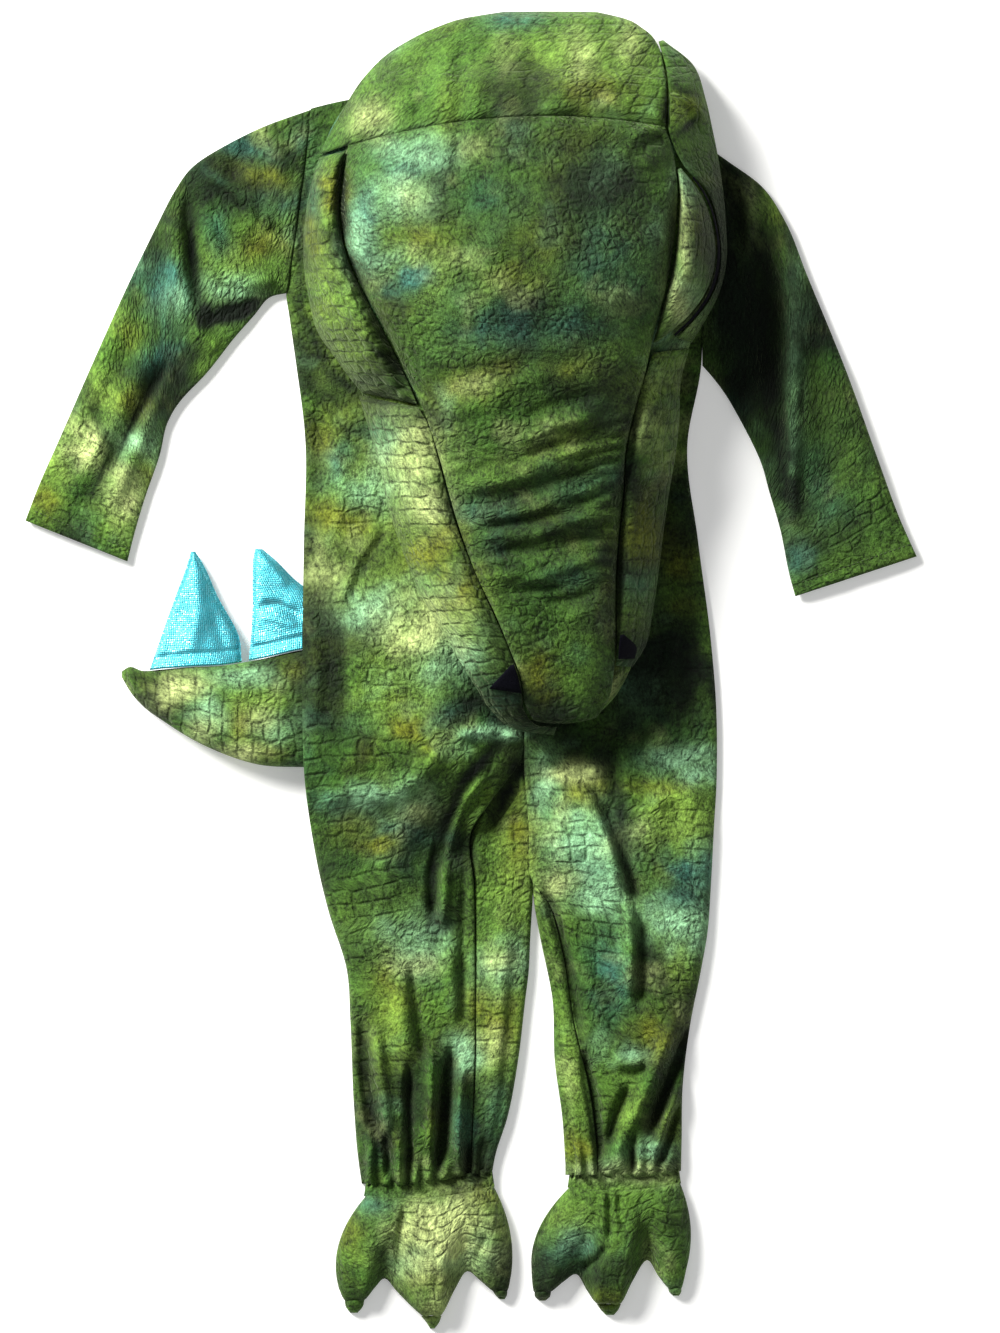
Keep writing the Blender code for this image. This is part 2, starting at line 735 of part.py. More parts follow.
def add_foot(name, toes, ankle, cloth):
    """A padded cover with three toes, from the ankle seam to the seams of the claw caps."""
    left_x, left_y, right_x, right_y, bow = ankle
    stops = even(len(toes["x"]))
    s = even(25)
    toe_x, toe_y, crest = (smooth_through(stops, toes[name], s) for name in ("x", "y", "crest"))
    t = np.array([0, 0.1, 0.3, 0.55, 0.8, 1.0])[:, None]
    share = np.clip((toe_x - toe_x[0]) / (toe_x[-1] - toe_x[0]), 0, 1)
    top_x = left_x + (right_x - left_x) * share
    top_y = left_y + (right_y - left_y) * share + bow * 4 * share * (1 - share)
    side_bulge = np.where(share < 0.5, -9.5, 5.5) * np.abs(2 * share - 1) ** 3
    x = top_x * (1 - t) + toe_x * t + side_bulge * 4 * t * (1 - t)
    y = top_y * (1 - t) + toe_y * t
    across = (1 - np.abs(2 * share - 1) ** 3.2) ** 0.5
    along = np.sqrt(np.clip(1 - ((t - 0.45) / 0.62) ** 2, 0.05, 1))
    valley = 1 - 0.55 * ease((t - 0.25) / 0.75) * (1 - np.clip(crest, 0, 1))
    upper = WALL + GAP + 3.5 + (FOOT_HIGH - 6) * across * along * valley
    lower = np.full_like(upper, WALL + GAP)
    add_layer("foot_" + name, x, y, lower, upper, cloth)
    add_layer("sole_" + name, x, y, 0 * lower, 0 * lower + WALL, cloth)


def add_claw(name, sizes, cloth):
    rails = table(
        RAILS,
        *[
            (sizes[part + "_left"], sizes[part + "_y"], sizes[part + "_right"], sizes[part + "_y"], 0)
            for part in ("root", "middle", "tip")
        ],
    )
    x, y = panel_grid(rails, even(3), even(5))
    taper = np.linspace(1, 0.45, 3)[:, None]
    upper = 2.5 + 8 * taper * pillow(even(5))[None, :]
    return add_layer(name, x, y, 0 * x, upper, cloth)


def add_feet(cloth, leaf):
    for side, toes, ankle in (("left", TOES_LEFT, ANKLE_LEFT), ("right", TOES_RIGHT, ANKLE_RIGHT)):
        add_casing("casing_" + side, ankle, cloth)
        add_foot(side, toes, ankle, leaf)
    for k, name in enumerate(CLAW_NAMES):
        add_claw("claw_" + name, {part: values[k] for part, values in CLAWS.items()}, leaf)


# Tail
def add_tail(cloth, shiny):
    """Two stuffed halves sewn along the back and belly, lying on their side, and the back seam's spikes."""
    edges = {"left_x": TAIL["x"], "right_x": TAIL["x"], "left_y": TAIL["top"], "right_y": TAIL["bottom"]}
    stops = section_stops(edges)
    sizes = {name: smooth_through(stops, TAIL[name], even(13))[:, None] for name in TAIL}
    x, top, bottom, thick = (sizes[name] for name in ("x", "top", "bottom", "thick"))
    s = rounded(8)[None, :]
    x, y = x + 0 * s, top * (1 - s) + bottom * s
    middle = thick / 2 + 0 * s
    near = middle + GAP / 2
    full = np.sqrt(1 - np.abs(2 * s - 1) ** 2.4)
    add_layer("tail_near", x, y, near, near + 1.0 + (middle - 1.2) * full, cloth)
    under = np.clip(middle - 1.0 - (middle - 1.0) * np.minimum(1, 1.25 * full), 0, None)
    add_layer("tail_far", x, y, under, middle - GAP / 2, cloth)
    for name, rails, root_high, tip_high in (
        ("spike_outer", SPIKE_OUTER, SPIKE_ROOT_HIGH - 3, SPIKE_TIP_HIGH),
        ("spike_inner", SPIKE_INNER, SPIKE_ROOT_HIGH, SPIKE_TIP_HIGH + 1),
    ):
        x, y = panel_grid(rails, even(7), rounded(7))
        t = even(7)[:, None]
        y = y + (column(TAIL, "top", x[:1], "x") + SEAM + 0.1 - y[:1]) * (1 - t) ** 2
        centre = root_high * (1 - t) + tip_high * t + 0 * x
        half = 1 + (5.5 - 3.5 * t) * pillow(rounded(7))[None, :]
        add_layer(name, x, y, np.clip(centre - half, 0, None), centre + half, shiny)


# Hood
def add_hood_panel(name, rails, along, across, material, pad=0.0, over=0.0, wrinkles=None):
    """A panel of the hood lying on the folded layers, or over another panel, with any stuffing under it."""
    x, y = panel_grid(rails, along, across)
    lower = head(x, y) + GAP + over
    puff = pad * pillow(across, 2.2, 0.6)[None, :] * pillow(even(len(along)), 3.0, 0.5)[:, None]
    if wrinkles is not None:
        lower = lower + np.maximum(fold_height(wrinkles, x, y), -2.0) + 2.0 * ease((200 - y) / 60)
    return add_layer(name, x, y, lower, lower + WALL + puff, material)


def add_hood_under(material):
    """The folded hidden layers as one rounded solid, its rim stepped where the layers' edges lie."""
    x, y = panel_grid(HOOD_UNDER, even(22), rounded(11))
    clear = GAP + 0.5 + 1.8 * ease(lift(x, y) / 2)
    add_layer("hood_under", x, y, chest(x, y) + clear, head(x, y) - 2.8, material)


def add_hood(cloth, leaf, navy):
    add_hood_under(cloth)
    add_hood_panel("hood_crown", CROWN, even(10) ** 1.35, rounded(11), leaf)
    brow_rows = np.concatenate([np.linspace(0, 0.5, 9)[:-1], np.linspace(0.5, 1, 25)])
    add_hood_panel("hood_brow", BROW, brow_rows, rounded(10), cloth, wrinkles=MUZZLE_WRINKLES)
    add_hood_panel("hood_pod_left", POD_LEFT, even(12), rounded(7), leaf, pad=PAD)
    add_hood_panel("hood_pod_right", POD_RIGHT, even(10), rounded(7), leaf, pad=PAD)
    add_hood_panel("hood_eye_right", EYE_RIGHT, even(10), even(3), navy)
    add_hood_panel("hood_side_right", SIDE_RIGHT, even(14), even(5), cloth)
    add_hood_panel("hood_ear_fold", EAR_FOLD, even(5), even(4), leaf, over=WALL + 1.5)
    add_hood_panel("jaw_left", JAW_LEFT, even(18), rounded(7), leaf, pad=2.5)
    add_hood_panel("jaw_right", JAW_RIGHT, even(13), rounded(6), leaf, pad=2.0)
    add_hood_panel("nostril_left", NOSTRIL_LEFT, even(5), even(4), navy, over=WALL + 3.2)
    add_hood_panel("nostril_right", NOSTRIL_RIGHT, even(4), even(4), navy, over=WALL + 2.8)


def main():
    for old in list(bpy.data.objects):
        bpy.data.objects.remove(old)
    bpy.context.scene.collection.children.link(bpy.data.collections.new(COLLECTION))
    cloth = new_material("plush", CLOTH_GREEN, 0.9)
    leaf = new_material("plush_light", LEAF_GREEN, 0.9)
    shiny = new_material("lame", SHINY_TURQUOISE, 0.35, 0.5)
    navy = new_material("nostril_cloth", NOSTRIL_NAVY, 0.7)
    add_suit(cloth)
    add_feet(cloth, leaf)
    add_tail(cloth, shiny)
    add_hood(cloth, leaf, navy)


main()
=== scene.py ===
"""A child's plush dinosaur costume laid flat on a pale floor, seen from straight above.

The tables and sizes are in millimetres: X to the picture's right, Y towards the head, Z up from
the floor. The meshes are in metres.
"""

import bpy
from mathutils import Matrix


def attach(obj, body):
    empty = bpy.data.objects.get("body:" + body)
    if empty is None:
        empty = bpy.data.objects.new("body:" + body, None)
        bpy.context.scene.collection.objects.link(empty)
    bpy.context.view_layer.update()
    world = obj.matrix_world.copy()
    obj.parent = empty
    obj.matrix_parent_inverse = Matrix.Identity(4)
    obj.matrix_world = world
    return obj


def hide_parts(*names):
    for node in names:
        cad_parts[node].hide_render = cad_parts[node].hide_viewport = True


bl_info = {
    "name": "Dinosaur costume",
    "version": (1, 0, 0),
    "blender": (4, 5, 0),
    "location": "3D View > Sidebar > Costume",
    "description": "Builds the cloth pieces of a padded plush dinosaur costume",
    "category": "Add Mesh",
}

from math import pi

import bpy
import numpy as np
from mathutils import Vector

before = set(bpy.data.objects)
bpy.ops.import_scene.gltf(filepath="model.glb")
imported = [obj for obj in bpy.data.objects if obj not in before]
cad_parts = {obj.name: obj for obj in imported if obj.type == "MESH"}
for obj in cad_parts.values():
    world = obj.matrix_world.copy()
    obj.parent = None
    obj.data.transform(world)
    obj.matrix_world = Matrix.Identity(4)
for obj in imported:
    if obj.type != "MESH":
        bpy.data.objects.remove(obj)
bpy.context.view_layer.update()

MM = 0.001
GAP = 0.3                 # between pieces at a seam

# Suit
NECK_LINE = 392.0         # top of the body panels, in Y
ARMPIT_LEFT = 260.0       # lower end of each armhole, in Y
ARMPIT_RIGHT = 212.0
SNOUT_END = -38.0         # where the muzzle stops lying on the fronts, in Y
SIDE_ROUND = 20.0         # width over which a front comes down to its side seam
BODY_PUFF = 3.2           # how far a front stands off the back
LEG_PUFF = 6.0            # how much further it stands off down the legs
LEG_TURN = 4.6            # outer radius where a leg's back panel turns over to the front
LEG_TOP = -60.0           # where it begins to turn over, in Y
GATHER_TOP = -296.0       # where the pleats over an ankle begin, in Y
GATHER_TIGHT = -328.0     # and where they are drawn in
GATHER_PITCH = 10.4
SLEEVE_DEEP = 9.5         # a sleeve lying flat
CUFF_HEM = 8.5            # from a cuff's edge to its stitches

# Feet and tail
CASING_LONG = 13.7        # gathered casing between a leg and a foot cover
CASING_TUCK = 0.8         # how far it reaches past the foot's seam
CASING_DEEP = 9.0
CASING_SPREAD = 2.0       # how much wider each side is at the foot
CASING_RIPPLE = 3.8       # height and number of its gathers
CASING_WAVES = 17
FOOT_HIGH = 24.0          # padded foot cover, and its rim over the sole
FOOT_RIM = 3.2
PLEAT_PITCH = 7.6         # pleats in a foot cover at the ankle
CAP_TUCK = 1.4            # how far a claw cap reaches under its toe's edge
TAIL_HIGH = 34.4          # cloth lifted over the stuffed tail
TAIL_LINE = -25.0         # the tail's axis under the body, in Y
SPIKE_SEAM = 0.5          # between the tail and its spikes
SPIKE_BAND = 9.0          # sewn band along a spike's root

# Hood
HOOD_EDGE = 12.0          # height of the hood's rim over what it lies on
LAYER_EDGES = 3           # rounded edges that the folded layers show
LAYER_OUT = 2.0           # how far each edge stands out
TILE_WIDE = 13.5          # largest embossed scales, on a brow pod
TILE_LONG = 11.5
WRINKLE_PITCH = 9.5       # fine wrinkles across the muzzle

# Cuff stitches
STITCH_PITCH = 3.4
STITCH_LONG = 2.3
STITCH_THICK = 0.34
STITCH_LIFT = 0.12
STITCH_SIDES = 6
SURFACE_POINTS = 60       # rays sent down to find the cuff under a row of stitches

# Rings of a stitch: place along it, girth and height, as shares of its length and thickness
STITCH_RINGS = ((0, 0.35, -0.5), (0.25, 1, 0.25), (0.75, 1, 0.25), (1, 0.35, -0.5))

# Both ends of each row of stitches, in X and Y
CUFF_SEAMS = (("left", (-306.5, 111.5), (-239, 84.5)), ("right", (230, 61), (307.5, 88)))

# Points along and across the pieces that don't follow the mesh spacing
SLEEVE_ROUND = 96
CASING_GRID = (11, 240)
FOOT_GRID = (40, 72)
CAP_GRID = (12, 18)
TAIL_GRID = (104, 44)
SPIKE_GRID = (54, 40)
INSIDE_ROWS = 110
FEWEST_POINTS = 6

# Cell of the spikes' metal thread, in metres
METAL_WEAVE = 0.0015

# The photo's frame: its middle in X and Y, and its height
VIEW_CENTRE = (20.3, 2.45)
VIEW_TALL = 933.1
CAMERA_HIGH = 3000.0

# Stage, in metres and watts. A lamp's row: its name, place, watts, width and colour
FLOOR_HALF = 4.0
FLOOR_BELOW = 0.0002
WORLD_STRENGTH = 0.16
LAMPS = (
    ("key", (-2.2, 2.0, 2.1), 350, 1.5, (1.0, 0.99, 0.96)),
    ("fill", (1.4, -0.9, 1.6), 5, 1.6, (0.93, 0.97, 1.0)),
    ("overhead", (0, 0, 2.6), 6, 2.2, (1.0, 1.0, 1.0)),
)


def table(header, *rows):
    """Named columns from listed rows."""
    return dict(zip(header.split(), np.array(rows, float).T))


# A fold: a line of three points, its half width, and its height (a trough is negative)
LINE = "x1 y1 x2 y2 x3 y3 width height"
RAILS = "left_x left_y right_x right_y bow"


def panel(*rows):
    """A row for each section between a panel's two edges, with a bow only where it has one."""
    return table(RAILS, *[row if len(row) == 5 else (*row, 0) for row in rows])


# Body panels, from the neck to the ankle
FRONT_LEFT = panel(
    (-112.2, 393, 24, 396, 9),
    (-119.5, 334, 25, 334),
    (-125.6, 292, 25.6, 292),
    (-129.4, 264, 26, 262),
    (-127, 246, 26.5, 246),
    (-123, 218, 27, 218),
    (-116, 160, 28, 160),
    (-117, 90, 30, 90),
    (-118, 20, 33, 20),
    (-118, -35, 36.4, -35),
    (-117, -70, 35, -62),
    (-113, -105, 14, -92),
    (-108, -134, 0, -114),
    (-100, -168, 2, -150),
    (-87, -210, 3, -200),
    (-84.5, -245, 3, -245),
    (-82, -305, 1.5, -303),
    (-79, -342, 0, -338, -2),
    (-76.5, -359.5, -0.3, -352.5, -4),
)
FRONT_RIGHT = panel(
    (24.5, 392, 160, 371),
    (25.5, 330, 161, 330),
    (26.5, 262, 162, 262),
    (27.5, 214, 161, 212),
    (28.5, 160, 151.5, 158),
    (30.5, 90, 159, 90),
    (33.5, 20, 168, 20),
    (37.5, -35, 172, -35),
    (37.2, -66, 172, -75),
    (40.4, -110, 170, -112),
    (42.6, -146, 168, -150),
    (55, -164, 166, -180),
    (64, -195, 161, -210),
    (72, -245, 153.5, -248),
    (84, -297, 148, -295),
    (88, -330, 147.5, -328, -1),
    (89.2, -353.5, 147, -350.5, -3),
)
# Inner fold of each leg's back panel, and where its turned-over strip starts
FOLD_LEFT = table(
    "y fold_x",
    (-60, 37),
    (-84, 41.2),
    (-116, 42.8),
    (-146, 43.6),
    (-190, 41.4),
    (-210, 40.5),
    (-231, 38),
    (-273, 33),
    (-315, 25),
    (-338, 17.5),
    (-356, 14),
)
FOLD_RIGHT = table(
    "y fold_x",
    (-60, 39),
    (-84, 40.8),
    (-116, 41.8),
    (-150, 42.8),
    (-165, 44.4),
    (-190, 49),
    (-231, 57),
    (-273, 58.5),
    (-315, 64),
    (-346, 66),
)
STRIP_LEFT_TOP = -74.0
STRIP_RIGHT_TOP = -138.0
BEND_LEFT_TOP = -58.0
BEND_RIGHT_TOP = -100.0

# Folds of the fronts, and of the backs' strips that turn over beside them
FOLDS = table(
    LINE,
    # Crotch: the arched ridge, the black trough under it and the folds beside it
    (-10, -48, 2, -38, 20, -41, 5, 8),
    (20, -41, 38, -50, 60, -66, 5, 7),
    (22, -50, -8, -86, -23, -122, 4, -13),
    (-16, -102, -26, -142, -27, -175, 4, -13),
    (0, -76, -32, -118, -36, -166, 10, -4),
    (12, -66, -10, -97, -17, -131, 4.5, 8),
    (-17, -131, -19, -156, -20, -180, 4.5, 7),
    (36, -58, 27, -84, 12, -111, 4.4, -10),
    (10, -90, 5, -116, 6, -150, 5, 5),
    (-46, -100, -58, -130, -62, -170, 12, 3),
    # Left leg
    (-78, -238, -73, -292, -66, -332, 4.5, -11),
    (-68, -244, -62, -292, -57, -332, 5, 6),
    (-43, -204, -38, -241, -33, -276, 3.6, -6),
    (-52, -214, -47, -250, -47, -300, 6, 4),
    (-28, -262, -28, -300, -29, -340, 4, 9),
    (-44, -274, -43, -311, -42, -356, 3.6, -8),
    (-14, -262, -18, -300, -23, -357, 4.2, -14),
    (-5, -270, -9, -320, -9, -350, 4, 8),
    (-16, -184, -15, -216, -12, -250, 6, 5),
    (-5, -130, -6, -190, -6, -250, 3, -4),
    (8, -326, 10, -342, 11, -356, 4, -7),
    (-60, -322, -59, -340, -60, -360, 3.2, -6),
    (-52, -318, -51, -338, -51, -358, 4.5, 5),
    (-2, -328, -2, -342, -2, -356, 3, -6),
    (-71, -316, -71, -338, -71, -358, 4, 4),
    (22, -150, 20, -230, 14, -300, 7, 4),
    (30, -190, 28, -240, 22, -300, 4, -3),
    # Right leg
    (49, -142, 67, -201, 78, -263, 3.6, -8),
    (78, -263, 86, -304, 91, -345, 4, -13),
    (56, -70, 66, -100, 72, -140, 10, 4),
    (67, -68, 93, -112, 108, -157, 8, 8),
    (108, -157, 112, -193, 111, -230, 6, 7),
    (86, -78, 104, -123, 117, -168, 4.4, -9),
    (117, -168, 120, -201, 118, -240, 4.6, -6),
    (100, -271, 108, -276, 123, -274, 3.4, 5),
    (102, -281, 113, -283, 125, -279, 3, -2.4),
    (112, -288, 101, -314, 94, -338, 4, -7),
    (145, -240, 126, -286, 107, -328, 6, 8),
    (156, -243, 141, -282, 124, -328, 4, -12),
    (150, -282, 138, -314, 129, -342, 4, 6),
    (147, -300, 138, -326, 133, -348, 3.2, -9),
    (104, -326, 103, -338, 103, -352, 4, 5),
    (114, -322, 113, -338, 113, -352, 3, -6),
    (140, -330, 141, -342, 141, -352, 4, 4),
    (84, -190, 97, -230, 102, -262, 7, -3),
    # Body
    (82, -50, 88, -72, 96, -104, 4.5, 4),
    (103, -46, 108, -70, 112, -96, 4.5, 3),
    (94, -40, 98, -62, 103, -84, 3, -4),
    (-110, -98, -84, -84, -52, -90, 8, 4),
    (-60, -92, -40, -78, -18, -54, 8, 5),
    (-62, 106, -80, 78, -92, 46, 3.4, 3),
    (-58, 98, -75, 72, -87, 42, 3, -2.5),
    (-104, 60, -92, 10, -96, -60, 9, -4),
    (-112, 40, -108, 0, -110, -44, 6, 3),
    (-84, 40, -80, 0, -84, -40, 10, 3),
    (-60, 66, -52, 30, -28, 4, 9, 2.5),
    (-96, 178, -90, 130, -96, 92, 9, 2.5),
    (-108, 190, -106, 150, -110, 110, 5, -3),
    (-118, 214, -104, 190, -88, 176, 5, -2.5),
    (120, -96, 140, -88, 164, -92, 7, 4),
    (160, 60, 150, 10, 152, -50, 9, -3),
    (134, -20, 128, -60, 130, -120, 9, 3),
    (146, 40, 138, 0, 142, -40, 6, 3),
)

# Sleeves, from the armhole to the cuff
SLEEVE_LEFT = panel(
    (-111.4, 392.5, -128.5, 264),
    (-146, 380, -142, 260),
    (-174, 366, -152, 248),
    (-194, 353, -166, 232),
    (-207, 336, -184, 209),
    (-220, 311, -202, 190),
    (-239, 272, -212, 174),
    (-263, 219, -218, 150),
    (-288, 162, -229, 118),
    (-303, 128, -236, 94),
    (-312, 104.5, -240.5, 76),
)
SLEEVE_RIGHT = panel(
    (160, 370, 162, 213),
    (180, 356, 169, 205),
    (203, 339, 178, 193),
    (220, 314, 189, 174),
    (235, 277, 201, 150),
    (262, 211, 209, 124),
    (284, 150, 217, 96),
    (301, 104, 223, 66),
    (312, 79.5, 227, 51.5),
)
SLEEVE_FOLDS = table(
    LINE,
    (-199, 336, -195, 292, -190, 250, 4.6, -5),
    (-208, 330, -206, 290, -202, 240, 8, 4),
    (-186, 330, -184, 296, -170, 272, 7, 4),
    (-190, 352, -160, 332, -120, 309, 4, 3),
    (-186, 343, -158, 322, -124, 300, 3, -3),
    (-186, 312, -160, 312, -128, 294, 4.5, 3.4),
    (-176, 300, -156, 298, -132, 284, 3, -3),
    (-176, 276, -158, 272, -134, 272, 6, 4.5),
    (-190, 244, -170, 246, -146, 258, 5, -5),
    (-196, 246, -188, 232, -176, 222, 5, 3),
    (-150, 380, -160, 358, -172, 340, 8, -2.5),
    (-136, 382, -134, 350, -136, 320, 7, 2),
    (-206, 228, -242, 164, -278, 106, 4.4, -5),
    (-218, 240, -244, 190, -268, 140, 8, 4.5),
    (-212, 206, -232, 160, -254, 112, 7, 4),
    (-238, 262, -262, 204, -290, 140, 8, 2.5),
    (-206, 222, -204, 206, -198, 196, 4, -3),
    (217, 318, 224, 245, 226, 92, 5, 5),
    (202, 316, 208, 240, 214, 150, 9, -4),
    (236, 250, 244, 190, 252, 110, 8, -2.5),
    (250, 236, 268, 170, 290, 110, 12, 2.5),
    (190, 344, 196, 320, 194, 290, 6, 3),
    (240, 190, 252, 176, 268, 172, 5, 2),
    (214, 196, 224, 186, 240, 180, 4, -2.5),
    (170, 352, 184, 330, 190, 300, 6, -3),
)

# Head: outline and height over the chest at each section, from the back of the hood to the snout
HEAD = table(
    "y left right high",
    (462, 8, 98, 10),
    (458, -14, 112, 24),
    (450, -30, 127, 36),
    (436, -56, 144, 50),
    (412, -80, 162, 68),
    (385, -99, 169, 84),
    (355, -111, 174.5, 96),
    (325, -116.5, 178.5, 106),
    (295, -119, 180, 111),
    (260, -115, 173, 110),
    (235, -107, 160, 104),
    (210, -89, 151, 98),
    (190, -79, 147.5, 92),
    (165, -71, 146.5, 86),
    (132, -65, 141.5, 78),
    (100, -56, 136.5, 72),
    (60, -39, 131, 67),
    (25, -19, 125.5, 62),
    (0, -6, 118, 56),
    (-22, 8, 108, 48),
    (-38, 24, 98, 38),
    (-47, 34, 90, 26),
)
# Hood panels, from the back of the hood to the snout
CROWN = panel(
    (22, 460.7, 88, 460.7, 0.3),
    (-4, 456.5, 108, 456, 0.3),
    (-24, 450, 120.5, 449, 0.5),
    (-50, 437, 130, 439, 2),
    (-74, 416, 135.5, 418, 6),
    (-91, 390, 137, 400, 12),
    (-107, 360.5, 136.4, 380.6, 16),
)
BROW = panel(
    (-86, 367.1, 135.8, 380.4, 13.4),
    (-89, 345, 141.5, 362, 9),
    (-91, 322, 144.5, 334, 4),
    (-89, 304, 143, 308),
    (-83, 283, 140, 285),
    (-73, 262, 135, 262),
    (-60, 238, 128.5, 238),
    (-44, 206, 122, 208),
    (-31, 176, 114, 180),
    (-22, 148, 108.3, 154),
    (-13, 115, 106.5, 124),
    (-5, 90, 103.5, 97),
    (4, 66, 101.5, 70),
    (17, 39, 101, 39),
    (27, 15, 101, 15),
    (35, -6, 99.5, -5),
    (38, -24, 96, -21, -1),
    (44, -35.5, 88, -33.5, -3),
)
JAW_LEFT = panel(
    (-78.5, 192, -37.2, 184),
    (-72, 170, -29.5, 171.5),
    (-64.5, 145, -22, 144.5),
    (-58.5, 115, -13.9, 113),
    (-48.5, 85, -4.3, 85.5),
    (-36, 54, 8.8, 54.5),
    (-20, 27, 21, 28),
    (-6, 3, 30.5, 5),
    (4, -13, 35.2, -10),
    (12, -26, 37.2, -28),
    (27, -40, 44.2, -37.6),
    (58, -45.6, 60, -39.8),
)
JAW_RIGHT = panel(
    (127.3, 222, 153, 225),
    (121.2, 203, 147, 203),
    (113.8, 176, 146, 178),
    (108.7, 150, 143.5, 152),
    (107.6, 124, 139, 126),
    (104.8, 97, 135, 98),
    (102.7, 70, 131.5, 70),
    (101.9, 39, 127, 39),
    (101.7, 15, 121.5, 15),
    (101.3, 3, 113, 2),
)
POD_LEFT = panel(
    (-106.2, 358.6, -87.4, 363.8),
    (-113, 336, -91.6, 338),
    (-117, 308, -92, 314),
    (-117.5, 290, -87.2, 290),
    (-114, 262, -75, 263),
    (-108, 238, -62, 238),
    (-94, 217, -50.5, 215),
    (-83, 202, -43.4, 200),
    (-76, 194, -37.6, 186),
)
POD_RIGHT = panel(
    (144.5, 351, 147, 351.5),
    (146, 333, 160.5, 334),
    (144.8, 308, 169.5, 308),
    (142.6, 288, 171, 288),
    (138.4, 268, 166, 268),
    (133.8, 251, 154, 250),
    (129.5, 236, 140, 237),
    (127.6, 229, 130.5, 229.5),
)
EYE_RIGHT = panel(
    (155, 344.5, 156, 345.3),
    (162.2, 334.4, 163.4, 335),
    (171.3, 308, 172.8, 308),
    (172.4, 288, 174.4, 287.5),
    (167.6, 267.2, 169.6, 266.5),
    (156, 248.5, 157.4, 247.5),
    (142, 234.8, 143, 233.8),
)
SIDE_RIGHT = panel(
    (131.2, 440, 134.5, 441),
    (136.8, 420, 156, 423),
    (138.4, 400, 164.5, 399),
    (137.8, 381, 169, 379),
    (149, 353, 173.5, 356),
    (164.8, 335.5, 176.6, 335),
    (173.5, 308, 178.8, 308),
    (175, 287, 179, 287),
    (170.4, 266, 173.8, 264),
    (158.2, 247, 163, 243),
    (144, 232.6, 154.5, 229),
)
EAR_FOLD = panel(
    (139.5, 404, 142, 404.5),
    (139.5, 398, 158, 396.5),
    (139.5, 389, 149.5, 388),
    (139.5, 379, 141.5, 379.5),
)
NOSTRIL_LEFT = panel(
    (28, 3.5, 30, 4),
    (20, -5, 33, -5),
    (12.5, -13, 35.4, -16.5),
)
NOSTRIL_RIGHT = panel(
    (104.5, 24.5, 107, 25),
    (103.5, 16, 116, 16),
    (103.2, 7.5, 114.5, 8),
)
MUZZLE_WRINKLES = table(
    LINE,
    (30, 156, 60, 172, 92, 180, 5, 4.5),
    (34, 148, 64, 160, 98, 166, 4, -3),
    (-10, 128, 36, 137, 84, 156, 5.5, 5),
    (-8, 118, 36, 124, 96, 143, 4.5, -3.5),
    (-4, 108, 30, 110, 60, 118, 3.5, 3),
    (0, 99, 44, 104, 98, 124, 4, -3.5),
    (2, 92, 44, 96, 98, 112, 4.5, 5),
    (6, 82, 50, 84, 98, 98, 4, -3.5),
    (8, 76, 34, 74, 60, 79, 3.5, 3),
    (10, 66, 50, 66, 97, 82, 4.5, 4.5),
    (14, 56, 40, 55, 70, 60, 4, -2.5),
    (50, 46, 74, 50, 96, 62, 4, -3),
    (66, 36, 84, 42, 98, 50, 5, 2.5),
    (30, 176, 60, 186, 96, 196, 5, -2.5),
    (-28, 178, 0, 184, 30, 190, 6, 3),
    (-10, 200, 20, 196, 60, 210, 7, 2.5),
)
